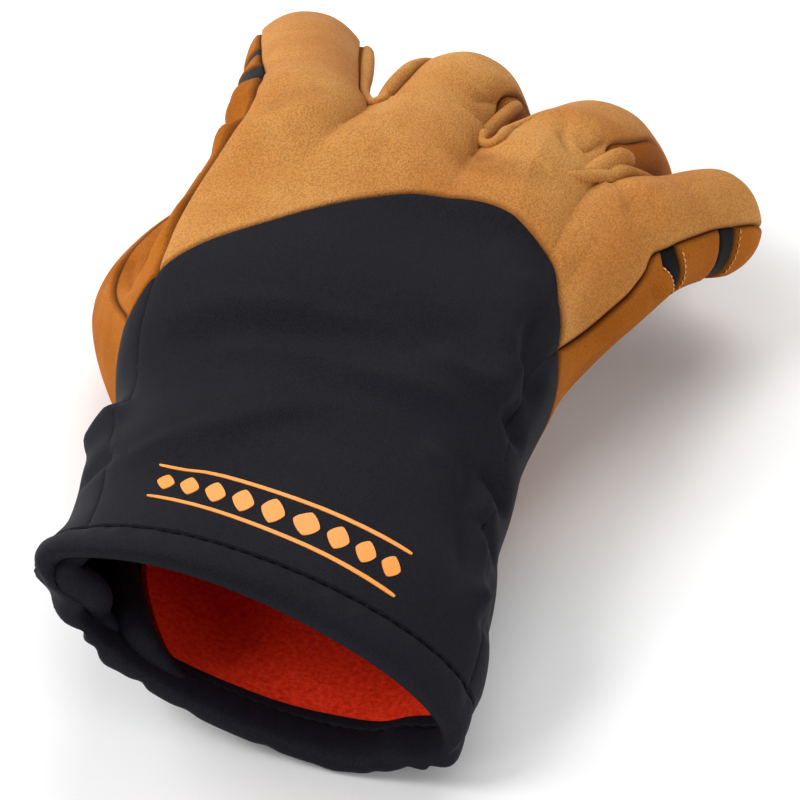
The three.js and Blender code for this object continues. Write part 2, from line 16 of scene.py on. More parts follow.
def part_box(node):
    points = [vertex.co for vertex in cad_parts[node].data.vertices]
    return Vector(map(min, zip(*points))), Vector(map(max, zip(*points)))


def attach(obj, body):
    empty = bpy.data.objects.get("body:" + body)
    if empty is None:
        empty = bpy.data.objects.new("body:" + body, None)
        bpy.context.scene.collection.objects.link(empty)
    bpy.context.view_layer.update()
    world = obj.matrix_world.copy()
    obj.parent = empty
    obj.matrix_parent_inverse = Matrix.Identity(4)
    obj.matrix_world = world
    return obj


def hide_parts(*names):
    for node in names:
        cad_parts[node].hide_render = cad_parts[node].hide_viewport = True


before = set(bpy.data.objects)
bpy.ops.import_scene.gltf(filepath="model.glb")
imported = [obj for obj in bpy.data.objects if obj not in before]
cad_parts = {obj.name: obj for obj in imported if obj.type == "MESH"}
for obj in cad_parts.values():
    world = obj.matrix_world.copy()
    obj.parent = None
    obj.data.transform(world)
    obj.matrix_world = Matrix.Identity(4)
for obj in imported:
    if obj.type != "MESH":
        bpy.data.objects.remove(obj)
NODES = set(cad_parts)
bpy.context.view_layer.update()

# %% [markdown]
# ## Sizes
# The glove is described by short tables: ovals along the cuff and hand, one row for each finger, the line
# where the softshell ends, and the soft folds over the cuff. A smooth curve runs through each column.

# %% Tables of the hand, the fingers and the thumb
MM = 0.001


def table(columns, rows):
    """Rows of numbers as named columns."""
    return dict(zip(columns.split(), np.array(rows, float).T))


def named_rows(columns, rows):
    """Rows of values as a list of things with named values."""
    return [SimpleNamespace(**dict(zip(columns.split(), row))) for row in rows]


LEATHER, SOFTSHELL, STRETCH, LINING = 2.2, 1.8, 1.4, 1.5
LINING_CLEARANCE = 0.4
HEM_LENGTH = 10.5
BACK_RIGHT, BACK_LEFT, PALM_LEFT, PALM_RIGHT = 23, 152, 205, 335

HAND = table("y x z half up down power turn", [
    [0, -5, 26, 47.5, 20, 20, 2.0, 20],
    [28, -5, 25, 46.5, 21.5, 25.5, 2.2, 9],
    [63, -10, 26, 45, 21, 27, 2.3, 3],
    [98, -9, 35, 48.5, 20, 26, 2.4, 4],
    [134, -2, 38, 52, 16, 20, 2.5, 11],
    [170, 8, 44.5, 58.5, 18, 18, 2.6, 12],
])
FINGERS = named_rows("name x y z yaw pitch knuckle joint bend1 bend2 band1 band2 length half up down crown "
                     "turn", [
    ["index", -36, 168, 47.5, -12, 18, 6, 14, 0.5, 0.76, 18, 38, 74, 12.8, 5.5, 7, 6.5, 4],
    ["middle", -8, 165, 44.5, 10, 5, 50, 26, 0.38, 0.68, 30.4, 54.4, 80, 11.8, 5.5, 6.5, 6.5, 13],
    ["ring", 24.5, 167, 46, 13, 24, 24, 22, 0.38, 0.68, 28.5, 51, 75, 12.6, 5.5, 6.5, 6.5, 6],
    ["little", 39, 141.5, 31.5, 27, -8, 24, 10, 0.38, 0.68, 17.5, 38, 57, 10.6, 6.5, 8.4, 6.2, 11],
])
LAST = len(FINGERS) - 1
WEBS = named_rows("share run", [[0.5, 0], [0.5, 0], [0.2, 34]])
WEB_SLOPE = 0.8
SIDE_BULGE, JOINT_SPREAD, TIP_ROUND, TIP_NARROWING = 2.2, 22, 12, 0.42
FINGER_SAMPLES, FINGER_BEYOND = 400, 5
PALM_CROWN, CROWN_POWER, CROWN_CLOSING = 0.75, 2.3, 0.8
SEAM_DEPTH_SHARE, CROWN_DEPTH_SHARE = 0.8, 0.2
WEB_RADIUS, BLEND, BAND_HALF = 7, 42, 3
WEB_REACH = 2.5 * WEB_RADIUS

EDGE = table("u y", [[-1, 79], [-0.6, 87], [-0.25, 90], [0, 97], [1, 111], [2, 136], [3, 130], [3.6, 118],
                     [4, 108], [5, 88]])
PALM_EDGE = 72
FOLDS = table("phi y slant long wide height", [
    [100, 62, -28, 60, 9, 1.6],
    [80, 84, -20, 60, 8, -1.4],
    [178, 47, 10, 22, 10, 1.2],
    [172, 70, 0, 20, 8, -2.6],
    [12, 34, 20, 25, 8, -2.2],
    [5, 66, 12, 22, 10, 1.6],
    [330, 4, 0, 10, 16, -3.0],
    [172, 3, 0, 12, 13, 2],
    [201, 1, 0, 9, 13, -5],
])
FOLD_SCALE = 0.75

THUMB = table("s x y z wide high", [
    [0, -44, 96, 25, 21, 16],
    [22, -55, 116, 19, 17, 13.6],
    [40, -58, 134, 16, 14.8, 12.6],
    [60, -54, 154, 14, 12.8, 11.6],
    [76, -47, 168, 12.5, 11.6, 10.8],
])
THUMB_BLEND, THUMB_START, THUMB_ANGLE, THUMB_TURN = 26, 0.75, 50, 20
THUMB_LENGTH = THUMB["s"][-1]

# %% Curves through the tables
def along(rows, key, x, name):
    """A smooth curve through one column over another: a cubic between rows, straight beyond the ends."""
    keys, values = rows[key], rows[name]
    last = len(keys) - 1
    before, after = np.maximum(np.arange(last + 1) - 1, 0), np.minimum(np.arange(last + 1) + 1, last)
    slope = (values[after] - values[before]) / (keys[after] - keys[before])
    x = np.asarray(x, float)
    k = np.clip(np.searchsorted(keys, x) - 1, 0, last - 1)
    h = keys[k + 1] - keys[k]
    q = np.clip((x - keys[k]) / h, 0, 1)
    over = (x - keys[k]) / h - q
    curve = ((2 * q**3 - 3 * q**2 + 1) * values[k] + (q**3 - 2 * q**2 + q) * h * slope[k]
             + (3 * q**2 - 2 * q**3) * values[k + 1] + (q**3 - q**2) * h * slope[k + 1])
    return curve + over * h * np.where(over > 0, slope[k + 1], slope[k])


def smooth(x):
    """0 below 0, 1 above 1, and three x squared minus two x cubed between."""
    s = np.clip(x, 0, 1)
    return s * s * (3 - 2 * s)


def mix(a, b, k):
    """The point a share k of the way from a to b."""
    return a + np.asarray(k)[..., None] * (b - a)


def unit(v):
    """Vectors of length 1."""
    return v / np.maximum(np.linalg.norm(v, axis=-1, keepdims=True), 1e-12)


# %% [markdown]
# ## The cuff and the hand
# The cuff and the hand are one tube of ovals. An angle phi goes round it, and y runs along it. The soft
# folds are low ridges and troughs laid over the tube: each falls off like a bell curve across and along its
# crest.

# %% The tube of the cuff and hand
def fold_height(phi, y):
    """Sum over the folds of height times exp(-across squared - along squared)."""
    turn = ((phi[..., None] - FOLDS["phi"] + 540) % 360 - 180) * FOLD_SCALE
    run = y[..., None] - FOLDS["y"]
    c, s = np.cos(np.radians(FOLDS["slant"])), np.sin(np.radians(FOLDS["slant"]))
    across = (run * c - turn * s) / FOLDS["wide"]
    lengthwise = (turn * c + run * s) / FOLDS["long"]
    return (FOLDS["height"] * np.exp(-across**2 - lengthwise**2)).sum(-1)


def hand_point(phi, y, depth):
    """The oval |x/a|^n + |z/b|^n = 1 at the angle phi, turned round its centre, drawn in by the depth."""
    phi, y, depth = np.broadcast_arrays(phi, y, depth)
    at = {name: along(HAND, "y", y, name) for name in HAND}
    c, s = np.cos(np.radians(phi)), np.sin(np.radians(phi))
    power = 2 / at["power"]
    inset = depth - fold_height(phi, y)
    x = np.sign(c) * np.abs(c) ** power * (at["half"] - inset)
    z = np.sign(s) * np.abs(s) ** power * (np.where(s > 0, at["up"], at["down"]) - inset)
    c, s = np.cos(np.radians(at["turn"])), np.sin(np.radians(at["turn"]))
    return np.stack([at["x"] + x * c + z * s, y, at["z"] - x * s + z * c], -1)


# %% [markdown]
# ## Fingers
# A finger is a rounded box in section, carried along a line that bends at two joints. Its bend is a smooth
# step at each joint, so its centre line is the running sum of short steps along the heading. Where two
# fingers meet, both are drawn to a point between them over the last few millimetres: that is the web.

# %% One finger
def finger_pitch(f, d):
    """How far the finger points down at the length d, in radians."""
    first = smooth((d - f.bend1 * f.length) / JOINT_SPREAD + 0.5)
    second = smooth((d - f.bend2 * f.length) / JOINT_SPREAD + 0.5)
    return np.radians(f.pitch + f.knuckle * first + f.joint * second)


def finger_frame(f, d):
    """Centre, side, normal and heading of the finger at the length d."""
    s = np.linspace(0, f.length + FINGER_BEYOND, FINGER_SAMPLES)
    mid = finger_pitch(f, (s[1:] + s[:-1]) / 2)
    run = np.concatenate([[0], np.cumsum(np.cos(mid))]) * s[1]
    fall = np.concatenate([[0], np.cumsum(np.sin(mid))]) * s[1]
    first = finger_pitch(f, 0)
    forward = np.where(d < 0, d * np.cos(first), np.interp(d, s, run))[..., None]
    drop = np.where(d < 0, d * np.sin(first), np.interp(d, s, fall))[..., None]
    yaw, turn = np.radians(f.yaw), np.radians(f.turn)
    head = np.array([np.sin(yaw), np.cos(yaw), 0])
    across = np.array([np.cos(yaw), -np.sin(yaw), 0])
    high = np.array([0, 0, 1.0])
    p = finger_pitch(f, np.maximum(d, 0))[..., None]
    level = np.sin(p) * head + np.cos(p) * high
    centre = np.array([f.x, f.y, f.z]) + forward * head - drop * high
    side = across * np.cos(turn) - level * np.sin(turn)
    normal = level * np.cos(turn) + across * np.sin(turn)
    return centre, side, normal, np.cos(p) * head - np.sin(p) * high


def finger_section(f, panel, t, d, depth, closing, bulge):
    """A point of the rounded box: arched over the back and the palm, swelling at the sides, and closed at
    the tip as a circle's quarter closes."""
    centre, side, normal, _ = finger_frame(f, d)
    k = np.clip(closing, 0, 1)
    opening = np.sqrt(1 - k * k)
    half = (f.half - depth) * (1 - TIP_NARROWING * (1 - opening))
    up = (f.up - depth * SEAM_DEPTH_SHARE) * opening
    down = (f.down - depth * SEAM_DEPTH_SHARE) * opening
    crown = (f.crown - depth * CROWN_DEPTH_SHARE) * opening**CROWN_CLOSING
    arch = 1 - np.abs(t) ** CROWN_POWER
    swell = bulge * opening * 4 * t * (1 - t)
    x, z = {
        "back": (half * t, up + crown * arch),
        "palm": (half * t, -down - PALM_CROWN * crown * arch),
        "right": (half + swell, up - t * (up + down)),
        "left": (-half - swell, up - t * (up + down)),
    }[panel]
    return centre + x[..., None] * side + z[..., None] * normal


def inner_length(f, d, depth):
    """The inside starts behind the web and ends short of the fingertip, by the depth."""
    far = f.length - 2 * TIP_ROUND
    near_share = np.clip(1 - np.maximum(d, 0) / WEB_REACH, 0, 1)
    far_share = np.clip((d - far) / (f.length - far), 0, None)
    return d - depth * (near_share + far_share)


def web_shift(i, arc, end, depth):
    """Part of the way from a corner of finger i's base to its neighbour's, or none at the outer sides."""
    other = i + end
    if not 0 <= other <= LAST:
        return np.zeros(np.shape(depth) + (3,))
    share = WEBS[min(i, other)].share if arc == "back" else 0.5
    none = np.zeros(np.shape(depth))
    mine = finger_section(FINGERS[i], arc, none + end, -depth, depth, none, 0)
    next_one = finger_section(FINGERS[other], arc, none - end, -depth, depth, none, 0)
    return (share if end > 0 else 1 - share) * (next_one - mine)


def web_pull(i, arc, end, d, sharp=1.0):
    """How much of that shift is left at the length d: one minus the height of a quarter circle, or a slower
    slope where the table gives the web a run along the second finger. Away from the web, where sharp falls
    to 0, the same stretch is a smooth step."""
    x = np.clip(1 - d / WEB_RADIUS, 0, 1)
    curve = sharp * (1 - np.sqrt(1 - x * x)) + (1 - sharp) * smooth(x)
    run = WEBS[i - 1].run if arc == "back" and end < 0 and i > 0 else 0
    return np.maximum(curve, WEB_SLOPE * (1 - smooth(d / run)) + (1 - WEB_SLOPE) * curve) if run else curve


def finger_point(i, panel, t, d, depth):
    """The finger's section, drawn to the webs at its base."""
    t, d, depth = np.broadcast_arrays(t, d, depth)
    f = FINGERS[i]
    closing = (d - (f.length - TIP_ROUND)) / TIP_ROUND
    is_side = panel in ("left", "right")
    end = 1 if panel == "right" else -1
    outside = not 0 <= i + end <= LAST
    bulge = SIDE_BULGE * (1 - web_pull(i, "palm", end, d)) if is_side and not outside else SIDE_BULGE
    point = finger_section(f, panel, t, inner_length(f, d, depth), depth, closing, bulge)

    def pulled(arc, side):
        """The shift of one corner at this length."""
        sharp = 1.0 if is_side else np.clip(side * t, 0, 1) ** 4
        return web_shift(i, arc, side, depth) * web_pull(i, arc, side, d, sharp)[..., None]

    if is_side:
        return point + mix(pulled("back", end), pulled("palm", end), t)
    return point + mix(pulled(panel, -1), pulled(panel, 1), (1 + t) / 2)


# %% [markdown]
# ## One surface for hand and fingers
# The tube of the hand turns into the four finger bases over its last stretch. Each point behind a base is
# mixed from the tube and from a straight run back from the base, so the knuckles grow out of the hand.

# %% From the cuff to the webs
def seam_place(i, panel, t):
    """The angle round the tube, and the place along the softshell's edge."""
    share = (i + (t + 1) / 2) / len(FINGERS)
    if panel == "back":
        return BACK_LEFT + (BACK_RIGHT - BACK_LEFT) * share, 4 * share
    if panel == "palm":
        return PALM_LEFT + (PALM_RIGHT - PALM_LEFT) * share, 4 * share
    if panel == "right":
        return BACK_RIGHT + (PALM_RIGHT - 360 - BACK_RIGHT) * t, 4 + t
    return BACK_LEFT + (PALM_LEFT - BACK_LEFT) * t, -t


def softshell_end(panel, u):
    """The length at which the softshell ends and the leather starts."""
    if panel != "palm":
        return along(EDGE, "u", u, "y")
    rise = along(EDGE, "u", 5, "y") - PALM_EDGE, along(EDGE, "u", -1, "y") - PALM_EDGE
    return PALM_EDGE + rise[0] * np.maximum(0, u - 3) ** 2 + rise[1] * np.maximum(0, 1 - u) ** 2


def base_heading(i, panel, t):
    """The heading at a finger's base, halfway to its neighbour's at the web."""
    heading = [finger_frame(f, np.array(0.0))[3] for f in FINGERS]
    t = {"right": np.ones_like(t), "left": -np.ones_like(t)}.get(panel, t)
    left, right = heading[max(i - 1, 0)], heading[min(i + 1, LAST)]
    return unit(mix(heading[i], np.where(t[..., None] < 0, left, right), np.abs(t) / 2))


def body_point(i, panel, t, y, depth):
    """The tube at the length y, running into the fingers' bases."""
    t, y, depth = np.broadcast_arrays(t, y, depth)
    phi, _ = seam_place(i, panel, t)
    end = finger_point(i, panel, t, 0.0, depth)
    behind = end[..., 1] - y
    heading = base_heading(i, panel, t)
    stretched = end - (behind / heading[..., 1])[..., None] * heading
    return mix(hand_point(phi, y, depth), stretched, smooth(1 - behind / BLEND))


def cuff_point(i, panel, t, v, depth):
    """v 0 is the hem's seam, v 1 the end of the softshell."""
    end = softshell_end(panel, seam_place(i, panel, t)[1])
    return body_point(i, panel, t, HEM_LENGTH + (end - HEM_LENGTH) * v, depth)


def palm_of_hand_point(i, panel, t, v, depth):
    """v 0 is the end of the softshell, v 1 the fingers' bases."""
    start = softshell_end(panel, seam_place(i, panel, t)[1])
    end = finger_point(i, panel, t, 0.0, depth)[..., 1]
    return body_point(i, panel, t, start + (end - start) * v, depth)


# %% [markdown]
# ## The thumb
# The thumb is a bent tube that leaves an oval hole in the side of the hand. Its first rows run from the
# hole's border into rings round the thumb's centre line.

# %% The thumb's tube
HOLE = table("k column row", [[0, -1, 0], [5, -6, 0], [10, -6, 5], [15, -1, 5], [THUMB_TURN, -1, 0]])
SIDE_COLUMNS, FINGER_COLUMNS, HAND_ROWS = 3, 4, 9


def thumb_border(k, depth):
    """The hole's border: over the side of the hand as far as the palm's corner, and on over the palm."""
    column, row = np.interp(k, HOLE["k"], HOLE["column"]), np.interp(k, HOLE["k"], HOLE["row"])
    v = row / HAND_ROWS
    on_side = palm_of_hand_point(0, "left", np.clip(-column / SIDE_COLUMNS, 0, 1), v, depth)
    t = 2 * np.maximum(-column - SIDE_COLUMNS, 0) / FINGER_COLUMNS - 1
    on_palm = palm_of_hand_point(0, "palm", t, v, depth)
    return np.where((column > -SIDE_COLUMNS)[..., None], on_side, on_palm)


def thumb_frame(s):
    """Centre, heading, side and normal of the thumb at the length s."""
    centre = [np.stack([along(THUMB, "s", q, name) for name in "xyz"], -1) for q in (s - 1, s, s + 1)]
    heading = unit(centre[2] - centre[0])
    side = unit(np.cross(heading, [0, 0, 1.0]))
    return centre[1], heading, side, np.cross(side, heading)


def thumb_point(k, s, depth):
    """From the hole's border to an oval ring: THUMB_TURN steps of k go once round."""
    k, s, depth = np.broadcast_arrays(k, s, depth)
    closing = np.clip((s - (THUMB_LENGTH - TIP_ROUND)) / TIP_ROUND, 0, 1)
    opening = np.sqrt(1 - closing**2)
    far = THUMB_LENGTH - 2 * TIP_ROUND
    length = s - depth * np.clip((s - far) / (THUMB_LENGTH - far), 0, None)
    centre, _, side, normal = thumb_frame(length)
    angle = np.radians(THUMB_ANGLE - 360 * k / THUMB_TURN)
    wide = (along(THUMB, "s", s, "wide") - depth) * (1 - TIP_NARROWING * (1 - opening))
    high = (along(THUMB, "s", s, "high") - depth) * opening
    ring = centre - (np.cos(angle) * wide)[..., None] * side + (np.sin(angle) * high)[..., None] * normal
    leaving = thumb_border(k, depth) + s[..., None] * THUMB_START * thumb_frame(np.array(0.0))[1]
    return mix(leaving, ring, smooth(s / THUMB_BLEND))


# %% [markdown]
# ## From a surface to a sewn panel
# A panel is one or more grids that share edges. Its outer sheet lies on the surface, and dips into the seam
# all along its border, as a sewn edge turns in. The dip is a quarter circle's curve of the distance to the
# border. The inner sheet lies deeper by the wall, and a rim closes the two into one solid.

# %% Grids and seams
TOUCH = 1e-4
LEAST_RIM, ALLOWANCE = 0.6, 14
NO_SEAM, SEAM_LIMIT = 99.0, 20.0
PRESS_SOFTNESS, PRESS_REACH = 0.6, 4
SHARP_ANGLE = 65
CHUNK = 4000


def grid(place, a, b, flip=False, keep=None):
    """A patch of the surface place(a, b, depth) over every pair of a and b, with its cells to keep."""
    a, b = np.meshgrid(a, b, indexing="ij")
    keep = np.ones((a.shape[0] - 1, a.shape[1] - 1), bool) if keep is None else keep
    return SimpleNamespace(at=lambda depth: place(a, b, depth), a=a, b=b, flip=flip, keep=keep)


def nearest(points, targets):
    """Distance from each point to the nearest target."""
    square = [((part**2).sum(1)[:, None] + (targets**2).sum(1) - 2 * part @ targets.T).min(1)
              for part in np.array_split(points, len(points) // CHUNK + 1)]
    return np.sqrt(np.maximum(np.concatenate(square), 0))


def rest(points, depth):
    """What would sink into the table is pressed flat on it, with a soft turn where it lifts off."""
    floor = np.maximum(depth, 0)
    lift = points[..., 2] - floor
    soft = 0.5 * (lift + np.sqrt(lift**2 + PRESS_SOFTNESS))
    z = floor + np.where(lift > PRESS_REACH, lift, soft)
    return np.concatenate([points[..., :2], z[..., None]], -1)


def roll(distance, deep, reach):
    """Depth at a distance from the seam: deep times one minus the height of a quarter circle."""
    x = np.clip(1 - distance / reach, 0, 1)
    return deep * (1 - np.sqrt(1 - x * x))


def join(patches):
    """One point for each place that the patches share, and the cells between them that aren't collapsed."""
    flat = np.concatenate([p.at(np.zeros(p.a.shape)).reshape(-1, 3) for p in patches])
    lattice = np.round(flat / TOUCH).astype(np.int64)
    _, first, same = np.unique(lattice, axis=0, return_index=True, return_inverse=True)
    same = same.ravel()
    cells, start = [], 0
    for p in patches:
        k = np.arange(p.a.size).reshape(p.a.shape) + start
        quads = np.stack([k[:-1, :-1], k[1:, :-1], k[1:, 1:], k[:-1, 1:]], -1)[p.keep]
        cells.append(quads[:, ::-1] if p.flip else quads)
        start += p.a.size
    cells = same[np.concatenate(cells)]
    return flat, first, same, cells[(cells != np.roll(cells, -1, axis=1)).sum(1) >= 3]


def border_of(cells, count):
    """Edges that only one cell has, in that cell's direction."""
    a, b = cells.ravel(), np.roll(cells, -1, axis=1).ravel()
    alone = (a != b) & ~np.isin(a * count + b, b * count + a)
    return np.stack([a[alone], b[alone]], 1)


def make_mesh(name, points, cells, materials, slot=None, material_index=None, **attributes):
    """A smooth mesh from points in the tables' frame and cells of four corners, some of them doubled. It
    replaces the frame's node of its name, if there is one."""
    real = cells != np.roll(cells, -1, axis=1)
    keep = real.sum(1) >= 3
    corners, sizes = cells[keep][real[keep]], real[keep].sum(1)
    if material_index is None:
        material_index = np.zeros(len(cells))
    mesh = bpy.data.meshes.new(name)
    mesh.vertices.add(len(points))
    mesh.vertices.foreach_set("co", ((points + SHIFT) * MM).astype(np.float32).ravel())
    mesh.loops.add(len(corners))
    mesh.loops.foreach_set("vertex_index", corners.astype(np.int32))
    mesh.polygons.add(len(sizes))
    mesh.polygons.foreach_set("loop_start", (np.cumsum(sizes) - sizes).astype(np.int32))
    mesh.polygons.foreach_set("material_index", material_index[keep].astype(np.int32))
    mesh.update(calc_edges=True)
    mesh.validate()
    mesh.shade_smooth()
    mesh.set_sharp_from_angle(angle=np.radians(SHARP_ANGLE))
    for key, values in attributes.items():
        mesh.attributes.new(key, "FLOAT", "POINT").data.foreach_set("value", values.astype(np.float32))
    for material in materials:
        mesh.materials.append(material)
    piece = bpy.data.objects.new(name, mesh)
    bpy.context.scene.collection.objects.link(piece)
    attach(piece, "root")
    if name in NODES:
        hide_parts(name)
    print(f"{name}: {len(sizes)} faces")


def sew(name, slot, patches, wall, materials, relief, plain=None, deep=1.1, reach=2.2, start=0.0):
    """A closed wall over the patches. relief(points) raises the surface, and plain(points) marks border
    points that don't turn in. The inside has the last material, but for the allowance along its border."""
    flat, first, same, cells = join(patches)
    points, count = flat[first], len(first)
    border = border_of(cells, count)
    seam = np.unique(border)
    if plain is not None:
        seam = seam[~plain(points[seam])]
    distance = nearest(points, points[seam]) if len(seam) else np.full(count, NO_SEAM)
    raised = relief(points)
    outer_depth = start + roll(distance, deep, reach) - raised
    inner_depth = np.maximum(start + wall - 0.5 * raised, outer_depth + LEAST_RIM)

    def lay(depth):
        """The patches' points at a depth for each joined point."""
        parts, k = [], 0
        for p in patches:
            values = depth[same[k:k + p.a.size]].reshape(p.a.shape)
            parts.append(rest(p.at(values), values).reshape(-1, 3))
            k += p.a.size
        return np.concatenate(parts)[first]

    a, b = border.T
    rim = np.stack([b, a, a + count, b + count], 1)
    all_cells = np.concatenate([cells, cells[:, ::-1] + count, rim])
    allowance = nearest(points, points[np.unique(border)])[cells].min(1) < ALLOWANCE
    inside = np.where(allowance, 0, len(materials) - 1)
    index = np.concatenate([np.zeros(len(cells)), inside, np.zeros(len(rim))])
    # The relief is stored as 'raised'; the leather's finish paints shade from it where it sinks into a
    # crease.
    make_mesh(name, np.concatenate([lay(outer_depth), lay(inner_depth)]), all_cells, materials, slot, index,
              seam=np.tile(np.minimum(distance, SEAM_LIMIT), 2), raised=np.tile(raised, 2))


def steps(a, b, size):
    """Even steps of about the given size."""
    return np.linspace(a, b, max(int(round(abs(b - a) / size)), 1) + 1)


# %% [markdown]
# ## Where the frame's origin is
# The tables count from the middle of the cuff's mouth, and the frame from under the middle of the glove.
# The hem is a plain ring in both, so the difference between their corners is the shift from one to the
# other.

# %% The shift from the tables to the frame
CAD_HEM = table("y depth", [[10.34, 0], [6, -1], [1.4, -0.6], [0, 1.4], [0.2, 3.4], [2.2, 4.6], [6, 4.9],
                            [10.34, 4.2]])


def loop_points(y, depth, across, down):
    """Points round the whole tube: over the back, down the right side, back over the palm, up the left."""
    sides = ([(i, "back", across) for i in range(LAST + 1)] + [(LAST, "right", down)]
             + [(i, "palm", across[::-1]) for i in range(LAST, -1, -1)] + [(0, "left", down[::-1])])
    return np.concatenate([body_point(i, panel, t[:-1, None], y, depth) for i, panel, t in sides])


cad_ring = rest(loop_points(CAD_HEM["y"], CAD_HEM["depth"], np.linspace(-1, 1, FINGER_COLUMNS + 1),
                            np.linspace(0, 1, SIDE_COLUMNS + 1)), np.zeros(len(CAD_HEM["y"])))
low = np.array(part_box("cuff_hem")[0]) / MM
SHIFT = np.array([low[0] - cad_ring[..., 0].min(), low[1] - cad_ring[..., 1].min(), 0])
print("shift in mm:", np.round(SHIFT, 3).tolist())

# %% [markdown]
# ## Finishes
# Each finish is a small node tree on Object coordinates, so the grain keeps its real size on every panel
# and runs across seams as it does on one hide. Nubuck is leather that was sanded to a nap: its grain is a
# net of fine valleys round pebbles of less than a millimetre. It darkens where a seam turns in, and painted
# shade darkens it where a crease sinks in.

# %% Node helpers
def plug(socket, value):
    """Links an output to the socket, or sets the socket to a value."""
    if hasattr(value, "is_linked"):
        socket.id_data.links.new(value, socket)
    else:
        socket.default_value = value


def new_material(name):
    """An empty node material, and a function that adds a node to it. The node's inputs are given in their
    order or by name, with a capital, and its settings in small letters."""
    material = bpy.data.materials.new(name)
    material.use_nodes = True
    material.node_tree.nodes.clear()

    def add(kind, *numbered, **named):
        node = material.node_tree.nodes.new(kind)
        for key, value in named.items():
            if key.islower():
                setattr(node, key, value)
            else:
                plug(node.inputs[key.replace("_", " ")], value)
        for socket, value in zip(node.inputs, numbered):
            plug(socket, value)
        return node

    return material, add


def colour(code):
    """A colour written as in a paint list, turned into the linear numbers that a shader takes."""
    parts = np.array([int(code[k:k + 2], 16) for k in (0, 2, 4)]) / 255
    linear = np.where(parts <= 0.04045, parts / 12.92, ((parts + 0.055) / 1.055) ** 2.4)
    return (*[float(x) for x in linear], 1.0)


def object_place(add):
    """The place on the object, in metres."""
    return add("ShaderNodeTexCoord").outputs["Object"]


def noise(add, place, scale, detail=2.0, roughness=0.5):
    """Noise with so many lumps to a metre, from 0 to 1."""
    node = add("ShaderNodeTexNoise", Vector=place, Scale=scale, Detail=detail, Roughness=roughness)
    return node.outputs["Fac"]


def stored(add, name):
    """A value that each point of the mesh carries."""
    return add("ShaderNodeAttribute", attribute_name=name).outputs["Fac"]


def ranged(add, value, low, high, out_low=0.0, out_high=1.0):
    """The value between low and high, spread over another range."""
    return add("ShaderNodeMapRange", value, low, high, out_low, out_high, clamp=True).outputs["Result"]


def tinted(add, base, paint, *share):
    """The base turned towards a colour by a value's range."""
    node = add("ShaderNodeMix", data_type="RGBA")
    for k, value in ((0, ranged(add, *share)), (6, base), (7, paint)):
        plug(node.inputs[k], value)
    return node.outputs[2]


def weighted(add, value, weight, other):
    """The value times a weight, plus another value."""
    return add("ShaderNodeMath", value, weight, other, operation="MULTIPLY_ADD").outputs["Value"]


def bent_place(add, place, scale, amount):
    """The place moved about by a slow noise, so that a pattern on it runs in waves."""
    drift = add("ShaderNodeTexNoise", Vector=place, Scale=scale, Detail=2.0).outputs["Color"]
    moved = add("ShaderNodeVectorMath", drift, (amount,) * 3, place, operation="MULTIPLY_ADD")
    return moved.outputs["Vector"]


def finish_surface(add, base, roughness, height=None, strength=0.0, distance=0.0002, **sockets):
    """The bump, the shader and the output. What is the same all over is set on the shader itself."""
    shader = add("ShaderNodeBsdfPrincipled", Base_Color=base, Roughness=roughness, **sockets)
    if height is not None:
        bump = add("ShaderNodeBump", Height=height, Strength=strength, Distance=distance)
        plug(shader.inputs["Normal"], bump.outputs["Normal"])
    add("ShaderNodeOutputMaterial", Surface=shader.outputs["BSDF"])


# %% Nubuck and the darker leather of the palm
def leather_finish(name, light, dark, deep, pebble=2000.0, grain=1.0, gloss=0.2, sheen=0.04):
    """Domed pebbles with valleys between, slow clouds of colour, darker seams, painted shade in creases."""
    material, add = new_material(name)
    place, dark, deep = object_place(add), colour(dark), colour(deep)
    rubbed, nap = noise(add, place, 170.0), noise(add, place, 3000.0, roughness=0.7)
    pebbles = add("ShaderNodeTexVoronoi", feature="SMOOTH_F1", Vector=bent_place(add, place, 420.0, 0.0009),
                  Scale=pebble, Smoothness=0.35).outputs["Distance"]
    base = tinted(add, dark, colour(light), noise(add, place, 30.0, 3.0), 0.34, 0.66)
    base = tinted(add, base, dark, rubbed, 0.38, 0.68, 0.0, 0.18)
    base = tinted(add, base, deep, pebbles, 0.3, 0.7, 0.0, 0.36 * grain)
    base = tinted(add, base, deep, nap, 0.45, 0.75, 0.0, 0.14)
    base = tinted(add, base, deep, stored(add, "seam"), 0.0, 1.3, 0.75, 0.0)
    # Painted shade: the colour turns to the deep tone where the relief sinks into a crease.
    base = tinted(add, base, deep, stored(add, "raised"), -1.7, -0.6, 0.65, 0.0)
    domes = weighted(add, nap, 0.2, ranged(add, pebbles, 0.0, 0.8, 1.0, 0.0))
    height = weighted(add, noise(add, place, 1500.0), 0.35, domes)
    finish_surface(add, base, ranged(add, rubbed, 0.3, 0.7, 0.74, 0.9), height, 0.7 * grain,
                   Specular_IOR_Level=gloss, Sheen_Weight=sheen, Sheen_Roughness=0.5,
                   Sheen_Tint=colour("e0a060"))
    return material


NUBUCK = leather_finish("nubuck", "cd944e", "b67533", "6b3a12")
SUEDE = leather_finish("suede", "b56b21", "995513", "4a250b", pebble=2200.0, grain=0.7, gloss=0.06,
                       sheen=0.0)

# %% [markdown]
# Softshell is a tight knit with a film behind it: matt, smooth, nearly black, with a faint sheen at a flat
# angle. The stretch inserts are the same kind of cloth with a coarser rib. The fleece is brushed: its bump
# is coarse and soft, and the sheen of its pile lightens it at a flat angle.

